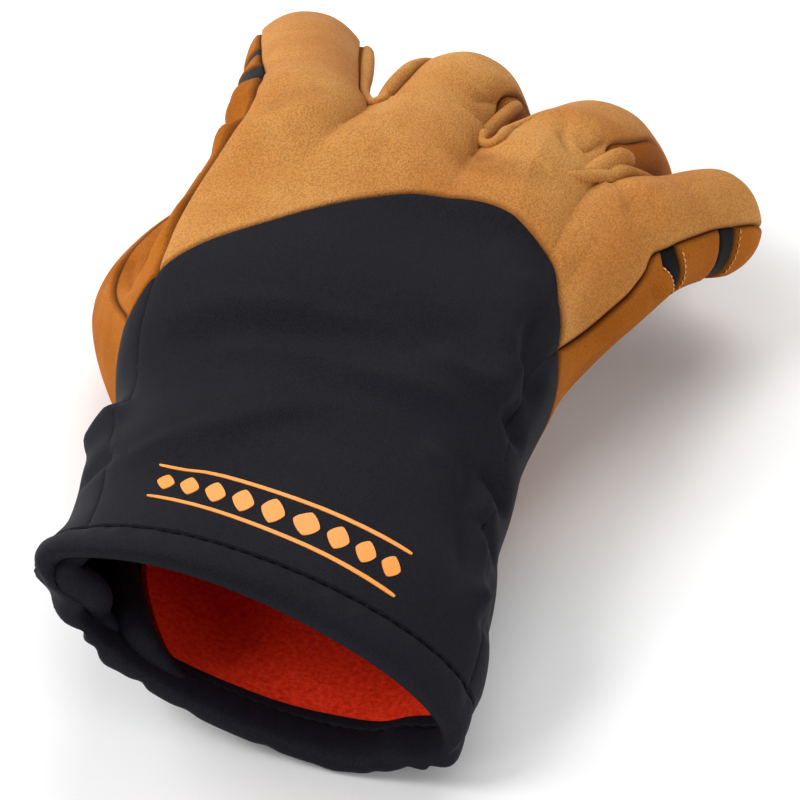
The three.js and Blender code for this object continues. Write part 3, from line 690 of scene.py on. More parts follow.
# %% Softshell, stretch cloth, fleece, thread and print
def knit_finish(name, light, dark, fleck, scale, strength, sheen):
    """Fine noise for the yarn and slow clouds for the way the cloth has rubbed."""
    material, add = new_material(name)
    place = object_place(add)
    yarn = noise(add, place, scale, roughness=0.6)
    base = tinted(add, colour(dark), colour(light), noise(add, place, 24.0, 5.0, 0.6), 0.35, 0.65)
    base = tinted(add, base, colour(fleck), yarn, 0.4, 0.75, 0.0, 0.5)
    base = tinted(add, base, colour("08080a"), stored(add, "seam"), 0.0, 1.0, 0.6, 0.0)
    finish_surface(add, base, 0.62, yarn, strength, Specular_IOR_Level=0.085, Sheen_Weight=sheen,
                   Sheen_Roughness=0.35, Sheen_Tint=colour("8d95b5"))
    return material


def fleece_finish(name, light, dark):
    """Brushed pile: coarse soft lumps with a finer nap on them."""
    material, add = new_material(name)
    place = object_place(add)
    lumps = noise(add, place, 800.0, 4.0, 0.75)
    height = weighted(add, lumps, 1.0, noise(add, place, 2600.0, 3.0, 0.8))
    base = tinted(add, colour(dark), colour(light), lumps, 0.35, 0.68)
    finish_surface(add, base, 0.95, height, 0.7, 0.0003, Specular_IOR_Level=0.1, Sheen_Weight=0.2,
                   Sheen_Roughness=0.6, Sheen_Tint=colour("ff4d12"))
    return material


def plain_finish(name, base, roughness, gloss=0.3):
    """One colour with a fine unevenness, for thread and print."""
    material, add = new_material(name)
    fine, base = noise(add, object_place(add), 900.0, 3.0), colour(base)
    shade = (*(0.7 * x for x in base[:3]), 1.0)
    finish_surface(add, tinted(add, base, shade, fine, 0.3, 0.7, 0.0, 0.3), roughness, fine, 0.3, 0.0001,
                   Specular_IOR_Level=gloss)
    return material


CLOTH = knit_finish("softshell", "111117", "0b0b10", "292933", 3400.0, 0.9, 0.01)
RIB = knit_finish("stretch", "0d0d12", "07070a", "18181e", 1800.0, 0.8, 0.006)
FLEECE = fleece_finish("fleece", "ff4624", "d01e0e")
BLACK_THREAD = plain_finish("black_thread", "050507", 0.6, gloss=0.07)
TAN_THREAD = plain_finish("tan_thread", "d79a58", 0.6)
PRINT = plain_finish("orange_print", "f79a45", 0.45)

# %% [markdown]
# ## Folds and creases
# Cloth and leather keep soft waves, and they crease where they are bent. Each crease here is a stroke: a
# smooth line through a few places on the glove, with a width and a height. A point near the line is raised
# or sunk by the height times a bell, or by a sharper hump where the leather is pinched. The same lines
# guide the stitches and the rolled edges of the webs.

# %% Lines on the glove
rng = np.random.default_rng(5)
WAVES = [(rng.normal(size=3) / size, rng.uniform(0, 2 * np.pi), size)
         for size in (26, 21, 17, 13, 10) for _ in range(3)]
WAVE_PACE = 2.2
LINE_STEP, LINE_SAMPLES = 0.5, 40
STROKE_REACH, STROKE_FADE = 3.5, 0.33


def soft_waves(points, height):
    """Slow unevenness: a sum of sines in random directions, larger waves standing higher."""
    total = sum(size * np.sin(points @ (direction * WAVE_PACE) + phase) for direction, phase, size in WAVES)
    return height * total / sum(size for _, _, size in WAVES)


def glove_point(i, panel, t, d, depth=0.0):
    """On a finger for d above 0, and over the hand for d below 0, counted back from the finger's base."""
    t, d, depth = np.broadcast_arrays(np.asarray(t, float), np.asarray(d, float), np.asarray(depth, float))
    base = finger_point(i, panel, t, 0.0, depth)[..., 1]
    behind = body_point(i, panel, t, base + np.minimum(d, 0), depth)
    return np.where((d < 0)[..., None], behind, finger_point(i, panel, t, np.maximum(d, 0), depth))


def line_run(line):
    """How far along the line each of its points is."""
    return np.concatenate([[0], np.cumsum(np.linalg.norm(np.diff(line[:, :3], axis=0), axis=1))])


def smooth_line(corners):
    """Points at about even steps on a smooth curve through the corners, with any further columns."""
    corners = np.array(corners, float)
    rows = {"s": np.arange(len(corners)), **dict(enumerate(corners.T))}
    s = np.linspace(0, len(corners) - 1, LINE_SAMPLES * len(corners))
    fine = np.stack([along(rows, "s", s, k) for k in range(corners.shape[1])], -1)
    run = line_run(fine)
    even = np.linspace(0, run[-1], max(int(run[-1] / LINE_STEP), 4))
    return np.stack([np.interp(even, run, column) for column in fine.T], -1)


def named_places(row):
    """Finger, panel and numbers of each place in a row, which names finger and panel where they change."""
    now, places = {}, []
    for item in row:
        if isinstance(item, tuple):
            places.append((now[int], now[str], *item))
        else:
            now[type(item)] = item
    return places


def leather_line(row):
    """A line through places given as the share across a panel and the length along the finger."""
    return smooth_line([rest(glove_point(*place), 0.0) for place in named_places(row)])


def cuff_line(places):
    """A line through places given as the angle round the cuff and the length."""
    return smooth_line([rest(hand_point(float(phi), float(y), 0.0), 0.0) for phi, y in places])


def thumb_line(places):
    """A line through places given as the step round the thumb and the length along it."""
    return smooth_line([rest(thumb_point(float(k % THUMB_TURN), float(s), 0.0), 0.0) for k, s in places])


def strokes(line_through, rows):
    """Strokes from rows of width, height, power and the places that each runs through."""
    return [(line_through(places), width, height, power) for width, height, power, *places in rows]


def stroke_height(points, lines):
    """Each stroke adds height times exp(-(distance / width) ^ power), fading over a third at either end."""
    total = np.zeros(len(points))
    for line, width, height, power in lines:
        reach = STROKE_REACH * width
        near = ((points > line.min(0) - reach) & (points < line.max(0) + reach)).all(1)
        if not near.any():
            continue
        apart = np.linalg.norm(points[near][:, None] - line[None], axis=2)
        share = apart.argmin(1) / (len(line) - 1)
        fade = smooth(share / STROKE_FADE) * smooth((1 - share) / STROKE_FADE)
        total[near] += height * fade * np.exp(-(apart.min(1) / width) ** power)
    return total


# %% Where the leather is creased
BACK_CREASES = strokes(leather_line, [
    (1.3, -1.0, 1, 1, "back", (0.45, 12), (0.62, 17), (0.78, 21), (0.88, 25)),
    (3.0, 0.7, 2, 1, "back", (0.3, 20), (0.62, 27), (0.72, 36)),
    (1.1, -1.7, 1, 2, "back", (0.45, -2), (0.6, 2), (0.7, 6), (0.78, 9)),
    (3.0, 0.9, 2, 2, "back", (0.35, 8), (0.6, 14), (0.62, 26)),
    (1.6, -1.1, 2, 2, "back", (-0.3, 10), (0.05, 2), (0.35, -4), (0.68, -7)),
    (1.6, -0.4, 2, 2, "back", (0.05, 10), (0.35, 3), (0.6, -2)),
    (6.0, -1.1, 2, 1, "back", (0.0, -11), (0.65, -15), (0.95, -17), 2, (-0.5, -21), (0.1, -20), (0.55, -15),
     (0.95, -9)),
    (1.8, -0.8, 2, 1, "back", (0.8, -4), (0.98, -10), 2, (-0.78, -16), (-0.55, -13)),
    (5.0, -0.8, 2, 0, "back", (-0.98, -27), (-0.4, -20), (0.3, -12), (0.8, -8)),
    (4.0, 0.7, 2, 0, "back", (-0.95, -12), (-0.5, -6), (0.1, 2)),
    (2.2, -0.7, 2, 0, "back", (-0.98, 2), (-0.5, 8), (0.0, 11)),
    (3.0, -0.5, 2, 0, "back", (-0.7, 30), (0.0, 34), (0.7, 36)),
    (4.0, -0.7, 2, 3, "back", (-0.3, 2), (0.0, 9), (0.25, 18)),
    (2.5, 0.6, 2, 3, "back", (-0.9, 6), (-0.5, 14), (0.0, 20)),
    (2.5, -0.6, 2, 3, "back", (-0.8, 24), (-0.3, 27), (0.4, 30)),
    (3.5, 0.6, 2, 3, "back", (0.5, -34), (0.6, -22), (0.7, -8)),
])
SIDE_CREASES = strokes(leather_line, [
    (1.7, -2.0, 1.5, 0, "left", (0.0, -7), (0.3, -5), (0.8, -3)),
    (1.7, -2.0, 1.5, 0, "left", (0.0, -19), (0.3, -17), (0.8, -14)),
    (3.8, 2.0, 2, 0, "left", (0.05, -13), (0.3, -11), (0.8, -9)),
    (3.8, 1.8, 2, 0, "left", (0.05, -25), (0.3, -23), (0.8, -21)),
    (4.0, 1.0, 2, 0, "left", (0.1, -5), (0.4, -3), (0.8, 0)),
    (6.5, 1.6, 2, 0, "left", (0.25, -16), (0.3, -2), (0.35, 8), (0.4, 24)),
    (1.6, -1.4, 2, 0, "left", (0.03, -40), (0.05, -48), (0.06, -58), (0.1, -66)),
    (2.2, 0.9, 2, 0, "left", (0.2, -38), (0.24, -48), (0.26, -58), (0.3, -66)),
    (1.0, -0.9, 1.5, 3, "right", (0.0, 6.5), (0.3, 8), (0.75, 9.5)),
    (1.5, 0.8, 2, 3, "right", (0.0, 10), (0.35, 11.3), (0.75, 12.5)),
    (3.0, 0.6, 2, 3, "right", (0.15, -30), (0.3, -15), (0.4, 0)),
    (2.0, -0.6, 2, 3, "right", (0.5, -26), (0.6, -12), (0.75, 2)),
])
STRIP_CREASES = strokes(leather_line, [
    (2.6, -2.6, 2, 2, "back", (0.8, -2), "right", (0.03, 2), (0.12, 6), (0.2, 9)),
    (1.2, -1.0, 1, 1, "right", (0.1, 18), (0.3, 22), (0.5, 26)),
])
THUMB_CREASES = strokes(thumb_line, [
    (1.8, -1.1, 2, (19.3, 4), (19.2, 16), (19.4, 28), (19.6, 42)),
    (2.2, 0.7, 2, (0.4, 4), (0.4, 16), (0.5, 30), (0.5, 42)),
    (2.2, -0.6, 2, (18.4, 8), (18.2, 20), (18.4, 34)),
    (2.2, -0.7, 2, (2.0, 4), (2.2, 16), (2.0, 30)),
    (3.0, -0.5, 2, (4.0, 10), (3.6, 24), (3.4, 40)),
])
print("creases:", len(BACK_CREASES), "back,", len(SIDE_CREASES), "side,", len(THUMB_CREASES), "thumb")

# %% Where the cuff is folded
CUFF_FOLDS = strokes(cuff_line, [
    (3.6, 0.5, 2, (157, 83), (132, 84), (113, 86), (99, 87), (89, 87), (78, 88), (66, 89)),
    (3.5, -0.35, 2, (150, 76), (132, 77), (113, 79), (99, 80), (85, 80)),
    (3.4, 0.5, 2, (140, 66), (124, 70), (111, 75), (96, 77), (83, 74), (65, 74), (46, 75), (34, 80)),
    (4, -0.35, 2, (124, 62), (108, 67), (94, 69), (78, 67), (62, 67)),
    (2.8, 0.45, 2, (70, 85), (60, 84), (51, 83), (40, 83), (28, 84)),
    (3.2, 0.6, 2, (155, 33), (139, 38), (122, 45), (106, 52), (92, 59), (80, 64)),
    (4, -0.4, 2, (135, 30), (120, 36), (106, 43), (94, 50)),
    (2.2, 0.6, 2, (42, 93), (34, 90), (29, 87), (23, 86), (14, 85)),
    (2.4, 0.45, 2, (61, 61), (55, 60), (49, 59), (42, 57), (35, 55)),
    (2.2, 0.5, 2, (38, 29), (28, 31), (18, 33), (7, 35)),
    (2.4, -0.4, 2, (32, 23), (20, 26), (8, 28)),
    (3.5, -1.4, 2, (46, 116), (41, 110), (35, 103), (28, 94), (24, 86), (25, 78)),
    (5, 0.8, 2, (52, 104), (45, 95), (38, 86), (34, 77)),
    (3.5, 0.9, 2, (26, 72), (25, 60), (26, 45), (28, 30), (30, 18)),
    (4.5, -0.8, 2, (38, 74), (35, 62), (35, 48), (37, 34), (40, 22)),
    (2.8, -1.1, 2, (34, 82), (22, 79), (8, 77)),
    (2.8, -1.3, 2, (32, 67), (20, 62), (6, 60)),
    (2.8, -1.2, 2, (30, 54), (18, 49), (4, 46)),
    (5, 1.3, 2, (150, 64), (165, 57), (180, 52)),
    (4, -1.0, 2, (148, 44), (160, 40), (175, 38)),
    (5, 0.5, 2, (75, 130), (60, 122), (50, 112)),
    (5.0, 1.6, 2, (183, 4), (190, 5), (198, 5), (206, 5), (214, 6)),
    (1.8, -1.2, 1.5, (223, -9), (222, -3), (221, 5), (219, 14), (217, 22)),
    (2.0, -1.1, 1.5, (350, -9), (347, -3), (344, 4), (343, 12), (341, 20)),
    (2.4, -0.9, 1.5, (8, -6), (5, 0), (3, 8), (2, 16)),
    (1.8, -0.6, 2, (228, -4), (230, 4), (233, 12)),
    (2.2, 0.4, 2, (236, -4), (237, 4), (241, 12)),
    (1.6, -0.5, 2, (246, -5), (247, 2), (248, 9)),
    (2.4, -0.3, 2, (262, -5), (261, 3), (262, 10)),
    (2.0, -0.3, 2, (283, -5), (284, 3), (286, 11)),
    (2.6, 0.3, 2, (300, -5), (303, 3), (304, 11)),
    (1.8, -0.3, 2, (318, -5), (317, 3), (319, 11)),
    (2.0, -0.6, 1.5, (332, -6), (334, 2), (333, 12)),
])
SEAM_STEPS = np.linspace(-0.2, 1, 240)
SIDE_SEAMS = [cuff_point(i, "back", end, SEAM_STEPS, 0.0) for i, end in ((LAST, 1.0), (0, -1.0))]
GROOVE_DEPTH, GROOVE_WIDTH = 0.35, 0.7
CUFF_WAVES, CUFF_FOLD_STRENGTH = 0.45, 2.2


def cuff_relief(points):
    """The cuff's folds and slow waves, and the shallow grooves of its two flat side seams."""
    grooves = sum(-GROOVE_DEPTH * np.exp(-nearest(points, line) / GROOVE_WIDTH) for line in SIDE_SEAMS)
    return soft_waves(points, CUFF_WAVES) + CUFF_FOLD_STRENGTH * stroke_height(points, CUFF_FOLDS) + grooves


def creased(waves, lines):
    """A relief of slow waves and of strokes."""
    return lambda points: soft_waves(points, waves) + stroke_height(points, lines)


# %% [markdown]
# ## The cuff
# The cuff is softshell: a back panel that ends in an arch over the hand, and a palm-side panel that wraps
# round both edges of the wrist. Both are grids over the same tube, so they meet exactly.

# %% Cuff panels
CELL = 0.8
ACROSS = np.linspace(-1, 1, 31)
DOWN = np.linspace(0, 1, 31)
CUFF_STEPS = np.linspace(0, 1, 116)
FLAT_WIDTH, FLAT_END_RIGHT, FLAT_END_LEFT = 0.9, 107, 95.5


def on(surface, i, panel):
    """The surface of one panel of finger i, as a place for a grid."""
    return lambda a, b, depth: surface(i, panel, a, b, depth)


def flat_seam(points):
    """Border points where the cloth runs on: at the hem, and along the cuff's flat side seams."""
    x, y = points[:, 0], points[:, 1]
    at_side = np.min([nearest(points, line) for line in SIDE_SEAMS], axis=0) < FLAT_WIDTH
    return (y < HEM_LENGTH + 0.01) | (at_side & (y < np.where(x > 0, FLAT_END_RIGHT, FLAT_END_LEFT)))


def cuff_panel(name, patches, inside):
    """A panel of softshell: thin enough that its seams turn in less than leather."""
    sew(name, "softshell", patches, SOFTSHELL, [CLOTH, inside], cuff_relief, flat_seam, deep=0.7, reach=1.1)


cuff_panel("cuff_back", [grid(on(cuff_point, i, "back"), ACROSS, CUFF_STEPS) for i in range(LAST + 1)],
           FLEECE)
cuff_panel("cuff_palm", [grid(on(cuff_point, LAST, "right"), DOWN, CUFF_STEPS)]
           + [grid(on(cuff_point, i, "palm"), ACROSS, CUFF_STEPS, flip=True) for i in range(LAST + 1)]
           + [grid(on(cuff_point, 0, "left"), DOWN, CUFF_STEPS, flip=True)], CLOTH)

# %% [markdown]
# The hem is the cloth folded over a soft core, with a facing that runs a little way into the mouth. It is
# one profile carried round the mouth. Along the rim the cloth puckers slightly between the stitches.

# %% The hem
HEM = table("y depth", [[10.6, 0.1], [10.0, 0.6], [9.2, 0.1], [7.6, -0.5], [5, -0.8], [2.4, -0.7],
                        [0.6, 0.0], [0, 1.2], [0.1, 2.6], [1.0, 3.8], [2.8, 4.6], [5.5, 5.0], [8.4, 4.9],
                        [9.4, 4.35], [10.4, 4.8], [12.6, 4.7], [13.4, 4.2], [12.8, 3.4], [11.4, 2.0]])
HEM_PROFILE = 76
PUCKER_LENGTH, PUCKER, PUCKER_MIDDLE, PUCKER_REACH = 6.5, 0.16, 7.5, 3.5


def ring_cells(rows, columns):
    """Cells of a grid that closes both ways: round the loop, and round the profile."""
    k = np.arange(rows * columns).reshape(rows, columns)
    next_row, next_column = np.roll(k, -1, axis=0), np.roll(k, -1, axis=1)
    both = np.roll(next_row, -1, axis=1)
    return np.stack([k, next_column, both, next_row], -1).reshape(-1, 4)


def closed_curve(profile, count):
    """A smooth closed curve through the profile's rows, at even steps of the row number."""
    n = len(profile["y"])
    s = np.arange(count) * n / count
    k = s.astype(int)
    q = s - k
    out = {}
    for name, v in profile.items():
        a, b, c, d = (v[(k + step) % n] for step in (-1, 0, 1, 2))
        out[name] = (b + q * (c - a) / 2 + q**2 * (a - 2.5 * b + 2 * c - d / 2)
                     + q**3 * (1.5 * (b - c) + (d - a) / 2))
    return out


def on_hem(y, depth):
    """Points round the whole hem, moved out by the cuff's folds and waves, and the way out at each."""
    points = loop_points(y, depth, ACROSS, DOWN)
    outward = unit(loop_points(y, depth - 1, ACROSS, DOWN) - points)
    relief = cuff_relief(points.reshape(-1, 3)).reshape(points.shape[:2])
    return points + relief[..., None] * outward, outward


hem_curve = closed_curve(HEM, HEM_PROFILE)
hem_points, outward = on_hem(hem_curve["y"], hem_curve["depth"])
between = smooth(1 - np.abs(hem_curve["y"] - PUCKER_MIDDLE) / PUCKER_REACH)
puckers = PUCKER * np.sin(2 * np.pi * line_run(hem_points[:, 0]) / PUCKER_LENGTH)[:, None] * between
hem_points = rest(hem_points + puckers[..., None] * outward, np.maximum(hem_curve["depth"], 0))
make_mesh("cuff_hem", hem_points.reshape(-1, 3), ring_cells(*hem_points.shape[:2]), [CLOTH], "softshell",
          seam=np.full(hem_points[..., 0].size, SEAM_LIMIT))

# %% The lining
LINING_LIFT, LINING_LIMIT = 0.7, 0.4
LINING_EDGE = table("y phi", [[9.5, 262], [14, 250], [23, 240], [34, 231], [44, 226], [60, 221],
                              [104, 214]])
LINING_ROUND, LINING_ALONG = np.linspace(0, 1, 260), steps(*LINING_EDGE["y"][[0, -1]], 1.2)


def lining_point(u, y, depth):
    """Once round the cuff's tube from the seam beside the stretch of cloth at the thumb's side."""
    start = along(LINING_EDGE, "y", y, "phi")
    return hand_point(start + (BACK_LEFT + 360 - start) * u, y, depth)


def lining_relief(points):
    """The lining follows the cuff's folds, but never comes up through them."""
    return np.minimum(LINING_LIFT * cuff_relief(points), LINING_LIMIT)


def everywhere(points):
    """No border point turns in."""
    return points[:, 1] > 0


sew("lining", "fleece", [grid(lining_point, LINING_ROUND, LINING_ALONG)], LINING, [FLEECE], lining_relief,
    everywhere, start=SOFTSHELL + LINING_CLEARANCE)

# %% [markdown]
# ## The leather
# One piece of nubuck covers the back of the hand and runs out over the backs of the four fingers, like a
# comb. On the little finger its edge climbs up the back, so that the side leather shows from above.

# %% Back and palm leather
HAND_STEPS = np.linspace(0, 1, 105)
WIDE = np.linspace(-1, 1, 43)
NUBUCK_EDGE = {
    (0, -1): [[0, 0.85], [5, 0.83], [11, 0.85], [17, 0.9], [28, 0.93], [40, 0.96], [60, 1], [74, 1]],
    (1, 1): [[0, 1], [12, 1], [18, 0.97], [22, 0.9], [25, 0.84], [30, 0.88], [38, 0.92], [50, 0.96],
             [64, 1], [80, 1]],
    (2, 1): [[0, 1], [2, 0.9], [5, 0.8], [9, 0.79], [14, 0.83], [22, 0.86], [32, 0.84], [44, 0.92],
             [60, 1], [75, 1]],
    (LAST, 1): [[0, 1], [5, 0.93], [9.5, 0.8], [15.5, 0.87], [24, 0.95], [32, 0.97], [40, 1], [57, 1]],
}
NUBUCK_EDGE = {place: table("d share", rows) for place, rows in NUBUCK_EDGE.items()}
TIP_STEPS, WEB_STEPS = 18, 12
FINE_CELL, LEAST_CELL = 0.7, 0.3


def tip_steps(length):
    """Steps that get finer over the rounded tip, as a circle's heights do."""
    return length - TIP_ROUND + TIP_ROUND * np.sin(np.linspace(0, np.pi / 2, TIP_STEPS))


def finger_steps(f, start, end, size=CELL):
    """Fine steps at the web, even steps along the finger, and fine steps over the tip."""
    web = WEB_RADIUS * (1 - np.cos(np.linspace(0, np.pi / 2, WEB_STEPS)))
    straight = steps(WEB_RADIUS, f.length - TIP_ROUND, size)
    every = np.concatenate([web[:-1], straight[:-1], tip_steps(f.length)])
    inside = every[(every > start + LEAST_CELL) & (every < end - LEAST_CELL)]
    return np.concatenate([[start], inside, [end]])


def bands(f):
    """The lengths where the stretch bands start and end."""
    return f.band1 - BAND_HALF, f.band1 + BAND_HALF, f.band2 - BAND_HALF, f.band2 + BAND_HALF


def nubuck_edge(i, end, d):
    """How far over the finger's back the nubuck reaches towards one side, as a share of the half width."""
    if (i, end) not in NUBUCK_EDGE:
        return np.ones_like(d)
    return np.minimum(along(NUBUCK_EDGE[i, end], "d", d, "share"), 1)


KNUCKLE_EDGE = table("v share", [[0, 1], [0.1, 1.05], [0.3, 1.14], [0.5, 1.17], [0.66, 1.13], [0.76, 1.04],
                                 [0.82, 0.98], [0.87, 0.94], [0.93, 0.88], [1, 0.85]])


def index_knuckle_edge(v):
    """The same for the hand behind the index finger: above 1 the nubuck reaches down over its side."""
    return along(KNUCKLE_EDGE, "v", v, "share")


def index_back_of_hand(t, v, depth):
    """The nubuck over the hand behind the index finger."""
    edge = index_knuckle_edge(v)
    x = -edge + (1 + edge) * (t + 1) / 2
    over_back = palm_of_hand_point(0, "back", np.maximum(x, -1), v, depth)
    down_side = palm_of_hand_point(0, "left", np.maximum(-1 - x, 0), v, depth)
    return np.where((x < -1)[..., None], down_side, over_back)


def knuckle_strip(s, v, depth):
    """The side leather beside the nubuck on the index finger's knuckle."""
    edge = np.minimum(index_knuckle_edge(v), 1)
    return palm_of_hand_point(0, "back", -(edge + (1 - edge) * s), v, depth)


def side_of_hand(t, v, depth):
    """The side leather from the nubuck's edge down, unchanged from the thumb's hole on."""
    reach = np.maximum(index_knuckle_edge(v) - 1, 0)
    return palm_of_hand_point(0, "left", t + reach * np.maximum(1 - SIDE_COLUMNS * t, 0), v, depth)


def back_place(i):
    """The nubuck over a finger's back, narrower where the side leather comes up."""

    def place(t, d, depth):
        left, right = nubuck_edge(i, -1, d), nubuck_edge(i, 1, d)
        return finger_point(i, "back", -left + (left + right) * (t + 1) / 2, d, depth)

    return place


backs = [grid(index_back_of_hand if i == 0 else on(palm_of_hand_point, i, "back"), WIDE, HAND_STEPS)
         for i in range(LAST + 1)]
backs += [grid(back_place(i), WIDE, finger_steps(f, 0, f.length, FINE_CELL)) for i, f in enumerate(FINGERS)]
sew("back_leather", "nubuck", backs, LEATHER, [NUBUCK, FLEECE], creased(0.4, BACK_CREASES), deep=1.0,
    reach=1.6)

# %% [markdown]
# The stretch bands let the fingers bend. On the outer sides of the index and little fingers they are cut as
# crescents, so the table gives each band's middle and half width round the girth: 0 at the back seam, 1 at
# the palm's corner, and 2 at the far side of the palm.

# %% Where the bands lie on the two outer fingers
SIDE_BANDS = {
    0: table("girth first half1 second half2",
             [[0, 6.8, 6.2, 29, 3.4], [0.5, 10, 5.6, 32, 3.2], [1, 14, 4.4, 36, 3], [2, 18, 3, 38, 3]]),
    LAST: table("girth first half1 second half2",
                [[0, 14.6, 2.4, 35.6, 3.4], [0.2, 15.6, 1.7, 35.9, 3.2], [0.5, 16.3, 1.1, 36.7, 3.2],
                 [0.78, 16.8, 0.3, 37.8, 3.3], [1, 17, 0.3, 39, 3.4], [1.3, 17.4, 2.2, 38.5, 3.2],
                 [2, 17.5, 3, 38, 3]]),
}


def bands_at(i, girth):
    """The middle and half width of both bands at a place round the girth."""
    return [along(SIDE_BANDS[i], "girth", girth, name) for name in ("first", "half1", "second", "half2")]


def banded(i, girth, d):
    """The length d with the bands' edges moved to where they lie at this girth, and even steps between."""
    if i not in SIDE_BANDS:
        return d
    f = FINGERS[i]
    first, half1, second, half2 = bands_at(i, girth)
    ends = [f.length - TIP_ROUND, f.length]
    plain = [0, *bands(f), *ends]
    moved = [0, first - half1, first + half1, second - half2, second + half2, *ends]
    return sum(np.clip((d - plain[k]) / (plain[k + 1] - plain[k]), 0, 1) * (moved[k + 1] - moved[k])
               for k in range(len(plain) - 1))


def palm_place(i):
    """The palm side of a finger."""
    sign = -1 if i == 0 else 1
    return lambda t, d, depth: finger_point(i, "palm", t, banded(i, 1 + (1 - sign * t) / 2, d), depth)


def outer_place(i, panel):
    """The outer side of the index or little finger."""
    return lambda t, d, depth: finger_point(i, panel, t, banded(i, t, d), depth)


def strip_place(i, end):
    """The strip of side leather over a finger's back: s 0 at the nubuck's edge, 1 at the side."""

    def place(s, d, depth):
        if i in SIDE_BANDS:
            d = banded(i, 0 * s, d)
        edge = nubuck_edge(i, end, d)
        return finger_point(i, "back", end * (edge + (1 - edge) * s), d, depth)

    return place


STRIP = np.linspace(0, 1, 9)
LEFT_DOWN = np.linspace(0, 1, 25)
PALM_ACROSS = np.linspace(-1, 1, 29)


def palm_side(i, lengths):
    """The patches of finger i that the palm's leather, bands and pads share."""
    patches = [grid(palm_place(i), PALM_ACROSS, lengths, flip=True)]
    if i == 0:
        patches += [grid(outer_place(0, "left"), LEFT_DOWN, lengths, flip=True),
                    grid(strip_place(0, -1), STRIP, lengths, flip=True)]
    if i == LAST:
        patches += [grid(outer_place(LAST, "right"), DOWN, lengths),
                    grid(strip_place(LAST, 1), STRIP, lengths)]
    return patches


# %% The palm's leather
PALM_STEPS = np.linspace(0, 1, HAND_ROWS * 10 + 1)


def outside_hole(side, a, b):
    """Cells that the thumb's hole leaves: it spans columns 1 to 6 and rows 0 to 5 of the coarse lattice."""
    row = (b[:-1] + b[1:])[None, :] / 2 * HAND_ROWS
    mid = (a[:-1] + a[1:])[:, None] / 2
    column = mid * SIDE_COLUMNS if side == "left" else SIDE_COLUMNS + (mid + 1) / 2 * FINGER_COLUMNS
    return ~((column > 1) & (column < 6) & (row < 5))


palm_patches = [grid(on(palm_of_hand_point, LAST, "right"), DOWN, PALM_STEPS)]
palm_patches += [grid(on(palm_of_hand_point, i, "palm"), PALM_ACROSS, PALM_STEPS, flip=True,
                      keep=outside_hole("palm", PALM_ACROSS, PALM_STEPS) if i == 0 else None)
                 for i in range(LAST + 1)]
palm_patches += [grid(side_of_hand, LEFT_DOWN, PALM_STEPS, flip=True,
                      keep=outside_hole("left", LEFT_DOWN, PALM_STEPS)),
                 grid(knuckle_strip, STRIP, PALM_STEPS, flip=True)]
for i, f in enumerate(FINGERS):
    palm_patches += palm_side(i, finger_steps(f, 0, bands(f)[0]))

side_relief = creased(0.35, SIDE_CREASES)
THUMB_SEAM, THUMB_SEAM_NEAR = thumb_border(np.linspace(0, THUMB_TURN, 400), np.zeros(400)), 0.3


def thumb_seam(points):
    """Border points on the thumb's hole, whose seam is flat."""
    return nearest(points, THUMB_SEAM) < THUMB_SEAM_NEAR


def suede_panel(name, patches, deep, flat=None):
    """A panel of the darker leather over the outer side of the hand or of a finger."""
    sew(name, "suede", patches, LEATHER, [SUEDE, FLEECE], side_relief, flat, deep=deep, reach=1.5)


suede_panel("palm_leather", palm_patches, 0.9, thumb_seam)

# %% Fourchettes, bands and pads
for i in range(LAST):
    first, second = (finger_steps(FINGERS[k], 0, FINGERS[k].length) for k in (i, i + 1))
    patches = [grid(on(finger_point, i, "right"), LEFT_DOWN, first),
               grid(on(finger_point, i + 1, "left"), LEFT_DOWN, second, flip=True)]
    if (i, 1) in NUBUCK_EDGE:
        patches.append(grid(strip_place(i, 1), STRIP, first))
    sew(f"fourchette_{FINGERS[i].name}_{FINGERS[i + 1].name}", "suede", patches, LEATHER, [SUEDE],
        creased(0.25, STRIP_CREASES), deep=0.9, reach=1.5)

for i, f in enumerate(FINGERS):
    edges = [*bands(f), f.length]
    for part, start, end in zip(("stretch_1", "pad_middle", "stretch_2", "pad_tip"), edges, edges[1:]):
        patches = palm_side(i, finger_steps(f, start, end))
        if part.startswith("pad"):
            suede_panel(f"{f.name}_{part}", patches, 0.8)
        else:
            sew(f"{f.name}_{part}", "stretch", patches, STRETCH, [RIB, FLEECE], side_relief, deep=0.5,
                reach=1.0, start=0.5)

# %% Thumb
THUMB_COLUMNS = 81
thumb_steps = np.concatenate([steps(0, THUMB_LENGTH - TIP_ROUND, CELL)[:-1], tip_steps(THUMB_LENGTH)])
for name, start in (("thumb_back", THUMB_TURN / 2), ("thumb_front", 0)):
    half_round = np.linspace(start, start + THUMB_TURN / 2, THUMB_COLUMNS)
    sew(name, "suede", [grid(thumb_point, half_round, thumb_steps, flip=True)], LEATHER, [SUEDE],
        creased(0.4, THUMB_CREASES), thumb_seam, deep=0.8, reach=1.4)

# %% [markdown]
# ## Rolled edges of the webs
# Between two fingers the strip's edge is rolled over before it is sewn to the nubuck, so each web has a
# soft pipe along it. A pipe is a tube round a smooth line, with a radius for each place of the line. It
# thins out where the roll runs into the seam.

# %% Tubes
TUBE_SIDES, TUBE_END = 14, 0.02
TUBE_NORMAL = [0.0, 0.31, 0.95]


